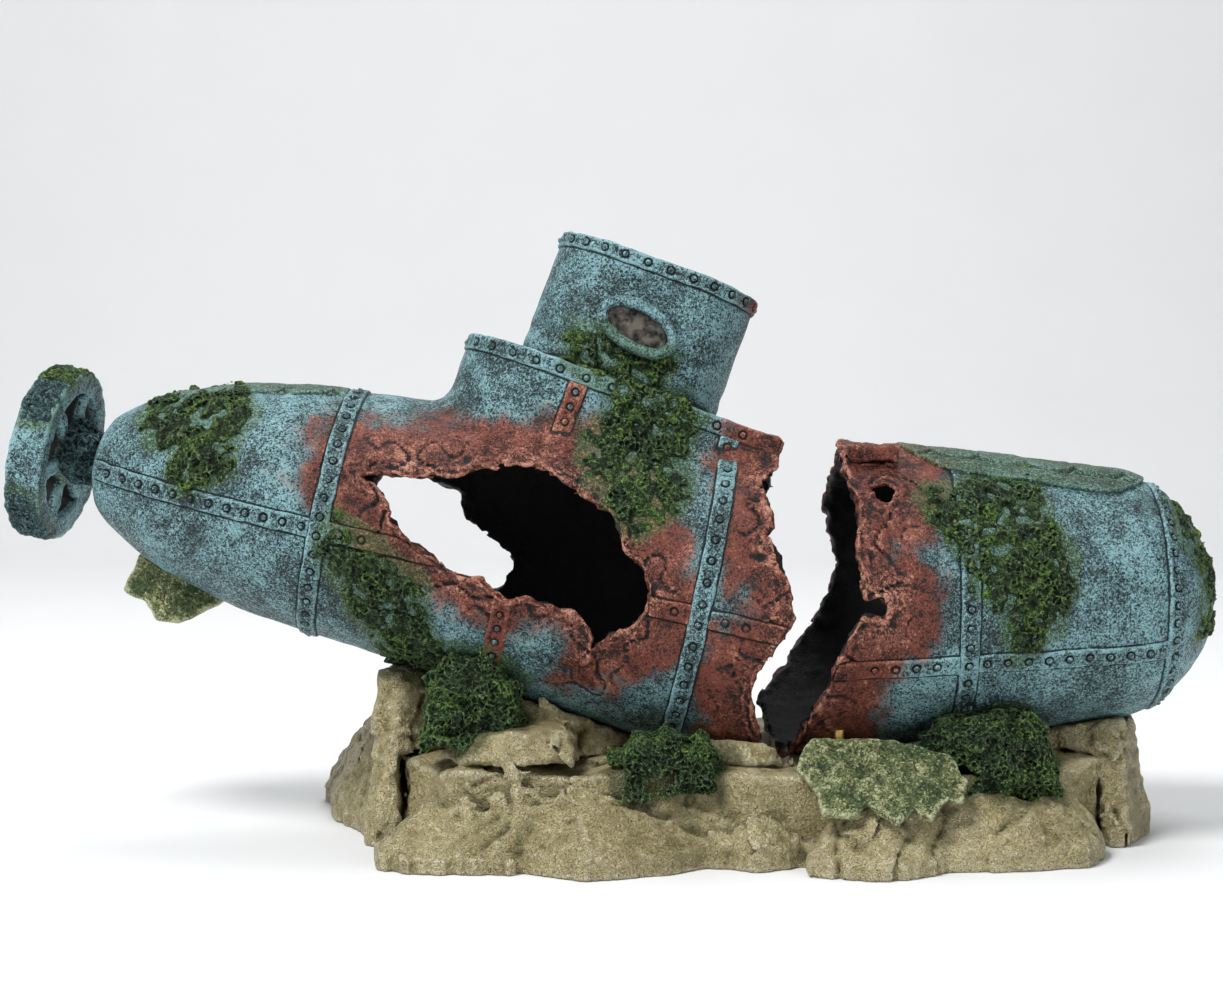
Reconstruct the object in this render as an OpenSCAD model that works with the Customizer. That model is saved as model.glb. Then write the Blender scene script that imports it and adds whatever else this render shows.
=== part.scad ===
// Sunken submarine bubbling ornament for an aquarium.
// Millimetres. +X runs towards the bow, -Y is the front that is looked at, +Z is up.
// The origin lies on the underside of the base, below the middle of the length.

/* [Aft section] */
// Nose-down tilt of the aft section, in degrees
aft_tilt = 12; // [10:0.5:14]
// Outer radius of the aft section at its rear ring strap
aft_rear_r = 28.5; // [28:0.1:29]
// Outer radius of the aft section at its fore ring strap
aft_fore_r = 36.8; // [36.3:0.1:37.3]
// Distance between the two ring straps of the aft section
aft_ring_gap = 85.5; // [84:0.5:87]
// Length of the rounded tail behind the rear ring strap
tail_len = 60; // [58:0.5:62]

/* [Bow section] */
// Outer radius of the bow section at its rear ring strap
bow_mid_r = 33; // [32.5:0.1:33.5]
// Distance from the bow's rear ring strap to its fore one
bow_ring_gap = 45; // [44:0.5:46]
// Length over which the nose rounds off
nose_len = 24.5; // [24:0.5:26]

/* [Walls and straps] */
// Wall thickness of the hull castings
wall = 3; // [2.5:0.1:3.5]
// Width of a riveted strap
strap_w = 4.2; // [3.5:0.1:4.5]
// Height of a strap above the skin under it
strap_t = 0.6; // [0.4:0.1:1]
// Radius of a rivet head
rivet_r = 0.8; // [0.6:0.05:0.9]

/* [Deck and tower] */
// Pitch of the deck against the hull's axis, in degrees
deck_pitch = 8; // [7:0.5:9]
// Lean of deck and tower towards the rear, in degrees
deck_lean = 5; // [4:0.5:6]
// Half the width of the deck casing
deck_half_w = 21; // [20:0.5:22]
// Length of the conning tower
tower_l = 47.5; // [46:0.5:49]
// Width of the conning tower
tower_w = 31; // [30:0.5:32]
// Height of the conning tower above the deck
tower_h = 30; // [29:0.5:31]

/* [Stern wheel] */
// Outer radius of the wheel
wheel_r = 19.8; // [19:0.1:20.5]
// Width of the wheel along its axis
wheel_w = 8.5; // [8:0.1:9]
// Number of spokes
spokes = 6; // [5:1:7]

/* [Base and air line] */
// Height of the plinth inside the rocks
plinth_h = 20; // [19.5:0.1:20.5]
// Radius of the air stone
stone_r = 5; // [4.5:0.1:5.2]
// Radius of the socket that takes the air stone
socket_r = 6; // [5.8:0.1:6.2]
// Radius of the spigot that an air line of 4 mm bore is pushed over
spigot_r = 2.4; // [2.3:0.05:2.5]
// Length of that spigot
spigot_l = 12; // [10:0.5:14]

/* [Hidden] */

eps = 0.3;                       // how far a glued-on piece is let into its neighbour
aft_at = [-64, 0, 74.6];         // centre of the aft section's rear ring
bow_at = [78.4, 0, 55.3];        // centre of the bow section's rear ring
aft_slope = (aft_fore_r - aft_rear_r) / aft_ring_gap;
tail_cut = -55.5;                // flat end of the tail
break_reach = 150;               // beyond any torn edge
cavity_start = -14;              // closed rear end of the aft section's cavity
bow_slope = -0.12;
nose_start = 36;                 // where the bow begins to round off
bow_cavity_end = 50;
deck_at = [22, 0, 46.5];         // rear end of the deck, in the aft section's frame
deck_l = 90;
deck_t = 3;
casing_depth = 24;
tower_from_deck_end = 36;        // centre of the tower, along the deck
rim_h = 3.4;                     // height of the deck's and the tower's rim straps
wheel_gap = 6.5;                 // clear length of shaft between tail and wheel
wheel_yaw = 6.5;
hub_r = 6.5;
spoke_w = 3.2;
rim_t = 5.2;
socket_at = [47, 46, 10];        // mouth of the air stone's socket, on the plinth's rear face
socket_depth = 80;
port_r = 3;                      // bubble ports from the socket into the bow
nozzle_at = [50, -30];
nozzle_r = 1.1;
nozzle_top = 28.5;

// Torn outlines, along the hull's axis and up from it, with the front and the rear wall apart
hole_front = [
    [4, 11.5], [10, 13], [25, 15], [33, 19.5], [38, 21], [45, 22], [50.5, 20.5], [56, 17.5], [62, 15.5],
    [65, 13.5], [67, 8], [71, 5.5], [74, 1], [74.5, -4.5], [71, -10.5], [67.5, -11], [65.5, -14.5],
    [62.5, -21], [63.5, -13.5], [61, -10], [57.5, -8.5], [49, -8], [43.5, -9], [38, -6.5],
    [31.5, -5.5], [22.5, -2.5], [17.5, 0.5], [14.5, 4], [12, 8.5]
];
hole_rear = [
    [5, 8], [12, 13], [22, 10], [27, 9.5], [29, 3], [40, -2], [44, -6], [40, -13], [30, -18],
    [20, -16], [13, -18], [8, -10], [3, -4]
];
aft_break_front = [
    [97, 60], [96, 35], [93, 28], [97.5, 19], [96.5, 16.5], [101, 10], [105, 1], [103, -5.5],
    [99.5, -13], [99, -18], [104.5, -29], [103, -40]
];
aft_break_rear = [
    [97, 60], [96, 35], [99, 25], [94, 14], [98, 3], [95, -8], [101, -18], [99, -28], [103, -40]
];
bow_break_front = [
    [-25, 45], [-26, 30], [-24, 22], [-24, 12], [-22.5, 0], [-25.5, -4.5], [-29, -12], [-32, -20],
    [-36, -29], [-38, -40]
];
bow_break_rear = [
    [-25, 45], [-24, 30], [-25.5, 18], [-22, 5], [-24, -3], [-31, -14], [-35, -21], [-42, -28],
    [-38, -40]
];
bow_pits = [
    [[-21.5, 23], [-21, 26.5], [-17.5, 27.5], [-14.5, 26], [-15.5, 23], [-18.5, 21.5]],
    [[-25, -2], [-24, 3], [-19.5, 3.5], [-17.5, 0.5], [-19, -2.5]]
];

// ---- Shared shapes ----

// Radius of the aft section at u along its axis
function aft_r(u) =
    (aft_rear_r + aft_slope * u) * sqrt(1 - pow(max(0, -u) / tail_len, 2.4));

// Radius of the bow section at u along its axis
function bow_r(u) =
    (bow_mid_r + bow_slope * u) * sqrt(max(0, 1 - pow(max(0, u - nose_start) / nose_len, 2.2)));

function steps(from, to, n) = [for (i = [0:n]) from + (to - from) * i / n];

aft_stations = concat(steps(tail_cut, -36, 4), [-26, -13, 0, aft_ring_gap, 112]);
bow_stations = concat([-50, 0, nose_start], steps(nose_start + 6, nose_start + nose_len, 6));

module along_x() {
    rotate([0, 90, 0])
        rotate_extrude($fn = 96)
            children();
}

// Solid of revolution about X with the aft section's outline, grown by lift
module aft_body(lift = 0, from = tail_cut, to = 112) {
    us = [for (u = aft_stations) if (u > from && u < to) u];
    ends = concat([from], us, [to]);
    along_x()
        polygon(concat([[0, from]], [for (u = ends) [aft_r(u) + lift, u]], [[0, to]]));
}

module bow_body(lift = 0, from = -50, to = nose_start + nose_len) {
    us = [for (u = bow_stations) if (u > from && u < to) u];
    ends = concat([from], us, [to]);
    tip = to + (to >= nose_start + nose_len ? lift : 0);
    along_x()
        polygon(concat([[0, from]], [for (u = ends) [bow_r(u) + lift, min(u, to)]], [[0, tip]]));
}

// A prism on an outline in the X-Z plane, through the front wall or the rear wall
module front_prism(outline) {
    rotate([90, 0, 0]) linear_extrude(80) polygon(outline);
}

module rear_prism(outline) {
    translate([0, 80, 0]) rotate([90, 0, 0]) linear_extrude(80) polygon(outline);
}

module place_aft() {
    translate(aft_at) rotate([0, aft_tilt, 0]) children();
}

module place_bow() {
    translate(bow_at) children();
}

module place_deck() {
    place_aft() rotate([-deck_lean, 0, 0]) translate(deck_at) rotate([0, deck_pitch, 0]) children();
}

module place_tower() {
    place_deck() translate([tower_from_deck_end, 0, 0]) children();
}

// What has been torn away from the aft section, bow side
module aft_beyond_break() {
    front_prism(concat(aft_break_front, [[break_reach, -40], [break_reach, 60]]));
    rear_prism(concat(aft_break_rear, [[break_reach, -40], [break_reach, 60]]));
}

module bow_beyond_break() {
    front_prism(concat(bow_break_front, [[-break_reach, -40], [-break_reach, 45]]));
    rear_prism(concat(bow_break_rear, [[-break_reach, -40], [-break_reach, 45]]));
}

// A band of the aft skin between two stations, standing strap_t proud
module aft_band(from, to, lift = strap_t) {
    difference() {
        aft_body(lift, from, to);
        aft_body(-eps, from - 1, to + 1);
    }
}

module bow_band(from, to, lift = strap_t) {
    difference() {
        bow_body(lift, from, to);
        bow_body(-eps, from - 1, min(to + 1, nose_start + nose_len - eps));
    }
}

// A slab of one strap's width, reaching out from the axis at an angle above the horizontal
module lengthwise_slab(angle, side) {
    rotate([side * angle, 0, 0])
        translate([-100, side > 0 ? 0 : -60, -strap_w / 2])
            cube([260, 60, strap_w]);
}

// A rivet head on the aft skin; side is -1 for the front and 1 for the rear
module rivet() {
    translate([0, 0, -eps]) cylinder(r = rivet_r, h = eps + 0.5, $fn = 16);
}

module aft_rivet(u, angle, lift = strap_t) {
    translate([u, 0, 0]) rotate([angle, 0, 0]) translate([0, 0, aft_r(u) + lift]) rivet();
}

module bow_rivet(u, angle, lift = strap_t) {
    translate([u, 0, 0]) rotate([angle, 0, 0]) translate([0, 0, bow_r(u) + lift]) rivet();
}

// ---- Base ----

plinth_outline = [
    [-48, -16], [-36, -32], [0, -37], [45, -38], [90, -32], [110, -16], [112, 20], [100, 40],
    [70, 46], [20, 46], [-30, 42], [-48, 28]
];

module plinth() {
    color("tan")
        difference() {
            linear_extrude(plinth_h) polygon(plinth_outline);
            place_aft() aft_body();
            place_bow() bow_body();
            translate(socket_at) rotate([90, 0, 0]) cylinder(r = socket_r, h = socket_depth, $fn = 64);
            translate([socket_at.x, 0, socket_at.z]) cylinder(r = port_r, h = 30, $fn = 48);
            translate([nozzle_at.x, nozzle_at.y, socket_at.z]) cylinder(r = nozzle_r, h = 30, $fn = 32);
        }
}

// An irregular ring of points, so that no two boulders match
function boulder_ring(w, d, seed) = [
    for (a = [0:45:315])
        let (k = 1 + 0.13 * sin(3 * a + seed * 47) + 0.1 * cos(2 * a + seed * 91))
            [w / 2 * k * cos(a), d / 2 * k * sin(a)]
];

// Cuts its children back to the faces of the plinth and of both hull sections
module fitted_to_base() {
    difference() {
        children();
        translate([0, 0, -1]) linear_extrude(plinth_h + 1) polygon(plinth_outline);
        place_aft() aft_body();
        place_bow() bow_body();
    }
}

// A boulder: [x, y, width, depth, height, turn, lean of its top to +X, lean of its top to +Y, size of its top]
module boulder(b, seed) {
    levels = [[0, 0.98, 0], [0.16, 1, 0.05], [0.94, b[8], 1]];
    translate([b[0], b[1], 0])
        hull()
            for (l = levels)
                translate([l[2] * b[6], l[2] * b[7], l[0] * b[4]])
                    rotate(b[5])
                        linear_extrude(0.06 * b[4])
                            polygon(boulder_ring(b[2] * l[1], b[3] * l[1], seed));
}

module boulders(list, seed) {
    color("tan")
        fitted_to_base()
            for (i = [0:len(list) - 1])
                boulder(list[i], seed + i);
}

module rocks_left() {
    boulders([[-51, 14, 34, 70, 25, 15, 3, -2, 0.5], [-46, -5, 22, 34, 40, -8, -1, 3, 0.72]], 1);
}

module rocks_front() {
    boulders([[-33, -33, 39, 42, 18, 30, 4, 9, 0.42], [-21, -27, 46, 32, 29, -4, 1, 5, 0.7],
              [-14, -6, 50, 24, 35, 0, 0, 0, 0.9], [-3, -38, 46, 33, 21, -3, -3, 10, 0.5],
              [30, -30, 36, 31, 26, 5, -2, 6, 0.55], [56, -41, 37, 29, 17, -4, 3, 7, 0.55],
              [87, -31, 46, 33, 21, 5, -3, 8, 0.5]], 5);
}

module rocks_right() {
    boulders([[108, 0, 34, 46, 31, -16, 1, 2, 0.74], [114, 8, 28, 56, 14, -20, -2, 0, 0.6],
              [104, 28, 36, 30, 19, -20, -3, 0, 0.6]], 12);
}

module rocks_rear() {
    boulders([[-34, 34, 40, 28, 18, 12, 2, -4, 0.7], [4, 38, 42, 24, 15, 0, 0, -4, 0.7],
              [88, 36, 40, 30, 17, -8, 0, -4, 0.7]], 16);
}

// ---- Aft section ----

module aft_hull() {
    color("cadetblue")
        place_aft()
            difference() {
                aft_body();
                aft_body(-wall, cavity_start, 113);
                front_prism(hole_front);
                rear_prism(hole_rear);
                aft_beyond_break();
            }
}

module aft_ring_strap_rear() {
    color("cadetblue") place_aft() aft_band(-strap_w / 2, strap_w / 2);
}

// The fore ring stops at the casing, where an upright strap carries it on to the rim
module aft_ring_strap_fore() {
    color("cadetblue")
        difference() {
            place_aft() aft_band(aft_ring_gap - strap_w / 2, aft_ring_gap + strap_w / 2);
            place_deck() translate([0, 0, -casing_depth]) linear_extrude(casing_depth + 10)
                deck_plan(deck_half_w + strap_t, -strap_t, deck_l + 1);
        }
}

strake_angle = -4.5;             // of the aft section's lengthwise straps, below the horizontal

module aft_strake_front() {
    color("cadetblue")
        place_aft()
            difference() {
                intersection() {
                    aft_band(tail_cut + 1, 107);
                    lengthwise_slab(strake_angle, -1);
                }
                front_prism(hole_front);
                aft_beyond_break();
                aft_band(-strap_w / 2, strap_w / 2, 3);
                aft_band(aft_ring_gap - strap_w / 2, aft_ring_gap + strap_w / 2, 3);
            }
}

module aft_strake_rear() {
    color("cadetblue")
        place_aft()
            difference() {
                intersection() {
                    aft_band(tail_cut + 1, 107);
                    lengthwise_slab(strake_angle, 1);
                }
                rear_prism(hole_rear);
                aft_beyond_break();
                aft_band(-strap_w / 2, strap_w / 2, 3);
                aft_band(aft_ring_gap - strap_w / 2, aft_ring_gap + strap_w / 2, 3);
            }
}

tear_strap_u = 43;               // of the short strap below the tear in the front wall

module aft_tear_strap() {
    color("sienna")
        place_aft()
            difference() {
                intersection() {
                    aft_band(tear_strap_u - strap_w / 2, tear_strap_u + strap_w / 2);
                    translate([0, -60, -24]) cube([100, 60, 18]);
                }
                front_prism(hole_front);
            }
}

plate_t = 0.8;
bow_plate_t = 1.8;

module aft_deck_plate() {
    color("darkseagreen")
        place_aft()
            intersection() {
                aft_band(-44, -strap_w / 2, plate_t);
                translate([-34, 0, 0]) linear_extrude(50)
                    union() {
                        translate([0, -9]) square([40, 18]);
                        circle(r = 9, $fn = 48);
                    }
            }
}

// Plan of the deck: a rounded rear end and straight sides
module deck_plan(half_w, from, to) {
    translate([from + half_w, 0]) circle(r = half_w, $fn = 64);
    translate([from + half_w, -half_w]) square([to - from - half_w, 2 * half_w]);
}

module deck_casing() {
    color("cadetblue")
        difference() {
            place_deck() translate([0, 0, -casing_depth]) linear_extrude(casing_depth)
                deck_plan(deck_half_w, 0, deck_l);
            place_deck() translate([0, 0, -casing_depth - 1]) linear_extrude(casing_depth + 1 - deck_t)
                deck_plan(deck_half_w - wall, wall, deck_l + 1);
            place_aft() aft_body();
            place_aft() aft_beyond_break();
        }
}

module deck_rim_strap() {
    color("cadetblue")
        difference() {
            place_deck() translate([0, 0, -rim_h]) linear_extrude(rim_h + 0.4)
                difference() {
                    deck_plan(deck_half_w + strap_t, -strap_t, deck_l);
                    deck_plan(deck_half_w - eps, eps, deck_l + 1);
                }
            place_aft() aft_beyond_break();
        }
}

upright_at = [28, 64];           // uprights on the casing's wall, along the deck
upright_h = 20;

module casing_upright_straps() {
    color("sienna")
        difference() {
            place_deck()
                for (x = upright_at, side = [-1, 1])
                    translate([x - strap_w / 2, side * (deck_half_w + strap_t / 2) - (strap_t + eps) / 2, -upright_h])
                        cube([strap_w, strap_t + eps, upright_h - rim_h]);
            place_aft() aft_body(-eps);
        }
}

// ---- Conning tower ----

module tower_plan(grow = 0) {
    half = tower_l / 2 - tower_w / 2;
    for (x = [-half, half])
        translate([x, 0]) circle(r = tower_w / 2 + grow, $fn = 64);
    translate([-half, -tower_w / 2 - grow]) square([2 * half, tower_w + 2 * grow]);
}

tower_recess = 2;

module conning_tower() {
    color("cadetblue")
        place_tower()
            difference() {
                linear_extrude(tower_h) tower_plan();
                translate([0, 0, -1]) linear_extrude(tower_h - wall - tower_recess + 1) tower_plan(-wall);
                translate([0, 0, tower_h - tower_recess]) linear_extrude(5) tower_plan(-wall);
            }
}

module tower_rim_strap() {
    color("cadetblue")
        place_tower()
            translate([0, 0, tower_h - rim_h])
                linear_extrude(rim_h)
                    difference() {
                        tower_plan(strap_t);
                        tower_plan(-eps);
                    }
}

module tower_hatch() {
    color("cadetblue")
        place_tower()
            translate([4, 0, tower_h - tower_recess - eps]) {
                cylinder(r = 8, h = eps + 1.4, $fn = 48);
                cylinder(r = 2.2, h = eps + 2.4, $fn = 32);
            }
}

porthole_z = 13.5;
porthole_turn = 11;              // against the tower's own horizontal

module porthole_plan(w, h) {
    scale([w / h, 1]) circle(d = h, $fn = 48);
}

module at_portholes() {
    place_tower()
        for (side = [0, 180])
            rotate(side)
                translate([0, -tower_w / 2, porthole_z])
                    rotate([90, 0, 0])
                        rotate(side == 0 ? -porthole_turn : porthole_turn)
                            children();
}

module porthole_rims() {
    color("cadetblue")
        at_portholes()
            translate([0, 0, -eps])
                linear_extrude(3 + eps)
                    difference() {
                        porthole_plan(20, 11.8);
                        porthole_plan(15.4, 7);
                    }
}

module porthole_panes() {
    color("dimgray")
        at_portholes()
            translate([0, 0, -eps]) linear_extrude(0.9) porthole_plan(15.8, 7.4);
}

// ---- Stern ----

module place_wheel() {
    place_aft() translate([tail_cut - wheel_gap, 0, 0]) rotate([0, 0, -wheel_yaw]) children();
}

module stern_shaft() {
    color("cadetblue")
        place_aft()
            translate([tail_cut - wheel_gap + eps, 0, 0])
                rotate([0, 90, 0])
                    cylinder(r1 = 3, r2 = 4, h = wheel_gap, $fn = 48);
}

module stern_wheel() {
    color("cadetblue")
        place_wheel()
            rotate([0, -90, 0]) {
                difference() {
                    cylinder(r = wheel_r, h = wheel_w, $fn = 96);
                    translate([0, 0, -1]) cylinder(r = wheel_r - rim_t, h = wheel_w + 2, $fn = 96);
                }
                cylinder(r = hub_r, h = wheel_w - 1, $fn = 48);
                for (i = [0:spokes - 1])
                    rotate(i * 360 / spokes + 12)
                        translate([0, -spoke_w / 2, eps])
                            cube([wheel_r - rim_t / 2, spoke_w, 5]);
            }
}

fin_t = 2.4;
fin_outline = [
    [-38, -14], [-42.5, -20], [-44.5, -29], [-41.5, -30.5], [-38.5, -30.5], [-35, -34.5],
    [-30, -34], [-22, -28], [-17, -22]
];

module stern_fin() {
    color("olivedrab")
        place_aft()
            difference() {
                translate([0, 6, 0]) rotate([90 - 14, 0, 0]) linear_extrude(fin_t) polygon(fin_outline);
                aft_body(-eps);
            }
}

plate_outline = [
    [-18, 8], [-16, 12], [2, 13], [14, 10], [18, 3], [17, -3], [13, -4], [10, -9], [6, -7], [3, -11],
    [-4, -6], [-5, -10], [-13, -10], [-15, -3], [-19, 2]
];

module fallen_plate() {
    color("olivedrab")
        translate([58.5, -41, 17.5])
            rotate([38, 4, -4])
                linear_extrude(2) polygon(plate_outline);
}

// ---- Bow section ----

module bow_hull() {
    color("cadetblue")
        difference() {
            place_bow()
                difference() {
                    bow_body();
                    bow_body(-wall, -51, bow_cavity_end);
                    bow_beyond_break();
                    for (pit = bow_pits)
                        front_prism(pit);
                }
            translate([socket_at.x, 0, 5]) cylinder(r = port_r, h = 30, $fn = 48);
        }
}

module bow_ring_strap_rear() {
    color("cadetblue") place_bow() bow_band(-strap_w / 2, strap_w / 2);
}

module bow_ring_strap_fore() {
    color("cadetblue") place_bow() bow_band(bow_ring_gap, bow_ring_gap + strap_w);
}

bow_strake_angle = -22;          // below the horizontal

module bow_strake(side) {
    difference() {
        intersection() {
            bow_band(-44, bow_ring_gap);
            lengthwise_slab(bow_strake_angle, side);
        }
        bow_beyond_break();
        bow_band(-strap_w / 2, strap_w / 2, 3);
    }
}

module bow_strake_front() {
    color("cadetblue") place_bow() bow_strake(-1);
}

module bow_strake_rear() {
    color("cadetblue") place_bow() bow_strake(1);
}

module bow_deck_plate() {
    color("darkseagreen")
        place_bow()
            intersection() {
                bow_band(-12, bow_ring_gap - 0.5, bow_plate_t);
                linear_extrude(50)
                    union() {
                        translate([2, -16]) square([28, 32]);
                        translate([2, 0]) scale([0.9, 1]) circle(r = 16, $fn = 48);
                        translate([30, 0]) scale([0.9, 1]) circle(r = 16, $fn = 48);
                    }
            }
}

// What is left of the deck casing on the torn edge of the bow, and of the rim strap round it
stub_at = [-24.5, -18, 30];
stub = [10, 5, 1.5];

module bow_casing_stub() {
    color("sienna") place_bow() translate(stub_at) cube(stub);
}

module bow_rim_stub() {
    color("sienna")
        place_bow()
            translate(stub_at + [-0.8, -0.8, stub.z]) cube([stub.x + 1.6, stub.y + 1.6, 4.2]);
}

// ---- Rivets ----

module aft_rivets() {
    rear_ring = 42;
    fore_ring = 38;
    color("steelblue")
        place_aft() {
            for (i = [0:rear_ring - 1])
                aft_rivet(0, i * 360 / rear_ring + 3);
            for (i = [0:fore_ring - 1])
                aft_rivet(aft_ring_gap, 38 + i * 275 / (fore_ring - 1));
            for (u = [-51:4.3:-3.6], angle = [90 - strake_angle, -90 + strake_angle])
                aft_rivet(u, angle);
            for (u = [5, 10], angle = [90 - strake_angle, -90 + strake_angle])
                aft_rivet(u, angle);
            for (u = [-5.6, 5.6, 10.2])
                aft_rivet(aft_ring_gap + u, 90 - strake_angle);
            for (u = [54:4.6:80])
                aft_rivet(u, -90 + strake_angle);
            for (v = [-12:-3.2:-22])
                aft_rivet(tear_strap_u, acos(v / aft_r(tear_strap_u)));
        }
}

module casing_rivets() {
    color("steelblue")
        place_deck() {
            for (x = [deck_half_w + 2:6.2:72], side = [-1, 1])
                translate([x, side * (deck_half_w + strap_t), -rim_h / 2])
                    rotate([-side * 90, 0, 0]) rivet();
            for (a = [100:16:260])
                translate([deck_half_w, 0, -rim_h / 2])
                    rotate([0, 0, a]) translate([deck_half_w + strap_t, 0, 0]) rotate([0, 90, 0]) rivet();
            for (x = upright_at, z = [-5.5, -9, -12.5, -16], side = [-1, 1])
                if (x == upright_at[0] || z > -10)
                    translate([x, side * (deck_half_w + strap_t), z])
                        rotate([-side * 90, 0, 0]) rivet();
        }
}

module tower_rivets() {
    half = tower_l / 2 - tower_w / 2;
    color("steelblue")
        place_tower()
            translate([0, 0, tower_h - rim_h / 2]) {
                for (x = steps(-half, half, 3), side = [-1, 1])
                    translate([x, side * (tower_w / 2 + strap_t), 0])
                        rotate([-side * 90, 0, 0]) rivet();
                for (side = [0, 180], a = steps(-72, 72, 8))
                    rotate(side) translate([half, 0, 0]) rotate(a)
                        translate([tower_w / 2 + strap_t, 0, 0]) rotate([0, 90, 0]) rivet();
            }
}

module bow_rivets() {
    rear_ring = 48;
    fore_ring = 40;
    color("steelblue")
        place_bow() {
            for (i = [0:rear_ring - 1])
                let (a = i * 360 / rear_ring)
                    if (abs(a - 180) < 148)
                        bow_rivet(0, a);
            for (i = [0:fore_ring - 1])
                bow_rivet(bow_ring_gap + strap_w / 2, i * 360 / fore_ring);
            for (u = [4:4.6:44], angle = [90 - bow_strake_angle, -90 + bow_strake_angle])
                bow_rivet(u, angle);
            for (u = [-21:4.6:-4], angle = [90 - bow_strake_angle, -90 + bow_strake_angle])
                bow_rivet(u, angle);
        }
}

// ---- Moss and crust ----

moss_t = 2.4;

// A pad that follows the aft skin inside an outline
module aft_pad(outline, lift = moss_t) {
    place_aft()
        intersection() {
            aft_band(-54, 104, lift);
            front_prism(outline);
        }
}

module moss_stern() {
    color("olivedrab")
        aft_pad([[-46, 13], [-44, 30], [-33, 30], [-26, 25], [-21, 19], [-23, 13], [-22, 6], [-29, 1],
                 [-33, -1], [-36, 3], [-34, 9], [-40, 8]]);
}

module moss_side() {
    color("olivedrab")
        aft_pad([[3, 3], [12, -1], [18, -6], [24, -8], [26, -16], [34, -26], [32, -38], [23, -38],
                 [17, -26], [9, -16], [1, -8]]);
}

module moss_tower() {
    color("olivedrab")
        union() {
            aft_pad([[52, 30], [66, 32], [78, 26], [76, 18], [68, 12], [62, 16], [56, 22]]);
            place_deck() {
                translate([36, -deck_half_w - moss_t, -13]) cube([20, moss_t + eps, 13 + moss_t]);
                translate([24, -deck_half_w - moss_t, 0]) cube([28, deck_half_w - tower_w / 2 + moss_t + eps, moss_t]);
                translate([22, -tower_w / 2 - moss_t, 0]) cube([24, moss_t + eps, 10]);
            }
        }
}

// A low mound of growth on the rocks
module mound(at, size, seed) {
    translate(at)
        hull()
            for (l = [[0, 1], [0.5, 0.9], [0.85, 0.5]])
                translate([0, 0, l[0] * size.z])
                    linear_extrude(0.15 * size.z)
                        polygon(boulder_ring(size.x * l[1], size.y * l[1], seed));
}

module moss_base_left() {
    color("olivedrab") fitted_to_base() mound([-31, -22, 24], [24, 17, 21], 3);
}

module moss_base_middle() {
    color("olivedrab") fitted_to_base() mound([12, -33, 15], [25, 15, 14], 4);
}

module moss_bow() {
    color("olivedrab")
        place_bow()
            intersection() {
                bow_band(-12, 34, moss_t);
                front_prism([[-10, 23], [-8, 26], [4, 28], [16, 30], [18, 20], [22, 14], [22, 0],
                             [16, -8], [11, -12], [8, -2], [4, 2], [0, 8], [-3, 14]]);
            }
}

module moss_base_right() {
    color("olivedrab") fitted_to_base() mound([84, -25, 15], [38, 20, 16], 6);
}

module crust_nose() {
    color("olivedrab")
        place_bow()
            intersection() {
                bow_band(49, nose_start + nose_len - 0.5, 1.5);
                translate([45, -18, -7]) cube([20, 30, 29]);
            }
}

module crust_hub() {
    color("teal")
        place_aft()
            translate([tail_cut - 4.5, -1, 1]) sphere(r = 7, $fn = 40);
}

// Growth on the rim of the wheel, from one angle over another, both from the top towards the rear
module wheel_pad(from, over) {
    place_wheel()
        rotate([0, -90, 0])
            translate([0, 0, 0.8])
                rotate(from)
                    rotate_extrude(angle = over, $fn = 96)
                        translate([wheel_r - eps, 0]) square([1.5, wheel_w - 1.6]);
}

module moss_wheel() {
    color("olivedrab") wheel_pad(-32, 50);
}

module crust_wheel() {
    color("teal") {
        wheel_pad(-68, 35.5);
        wheel_pad(190, 50);
    }
}

// ---- Air line ----

module place_socket() {
    translate(socket_at) rotate([-90, 0, 0]) children();
}

stone_l = 25;
stone_back = 33;                 // from the socket's mouth in to the stone
tube_r = 2;
tube_bore_r = 1.2;
flange_r = 9;
flange_t = 2;

module air_stone() {
    color("lightsteelblue")
        place_socket()
            translate([0, 0, -stone_back - stone_l])
                difference() {
                    cylinder(r = stone_r, h = stone_l, $fn = 64);
                    translate([0, 0, stone_l - 6]) cylinder(r = tube_r, h = 7, $fn = 48);
                }
}

module air_spigot() {
    color("dimgray")
        place_socket()
            difference() {
                union() {
                    translate([0, 0, -stone_back - 6]) cylinder(r = tube_r, h = stone_back + 6, $fn = 48);
                    cylinder(r = flange_r, h = flange_t, $fn = 64);
                    translate([0, 0, flange_t]) cylinder(r = spigot_r, h = spigot_l, $fn = 48);
                }
                translate([0, 0, -stone_back - 7])
                    cylinder(r = tube_bore_r, h = stone_back + flange_t + spigot_l + 8, $fn = 48);
            }
}

module socket_plug() {
    color("black")
        place_socket()
            translate([0, 0, -8])
                difference() {
                    cylinder(r = socket_r - 0.05, h = 8, $fn = 64);
                    translate([0, 0, -1]) cylinder(r = tube_r, h = 10, $fn = 48);
                }
}

module bubble_nozzle() {
    color("goldenrod")
        translate([nozzle_at.x, nozzle_at.y, socket_at.z + socket_r])
            difference() {
                cylinder(r = nozzle_r, h = nozzle_top - socket_at.z - socket_r, $fn = 32);
                translate([0, 0, -1]) cylinder(r = 0.6, h = 30, $fn = 32);
            }
}

// ---- One node at a time ----

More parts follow.
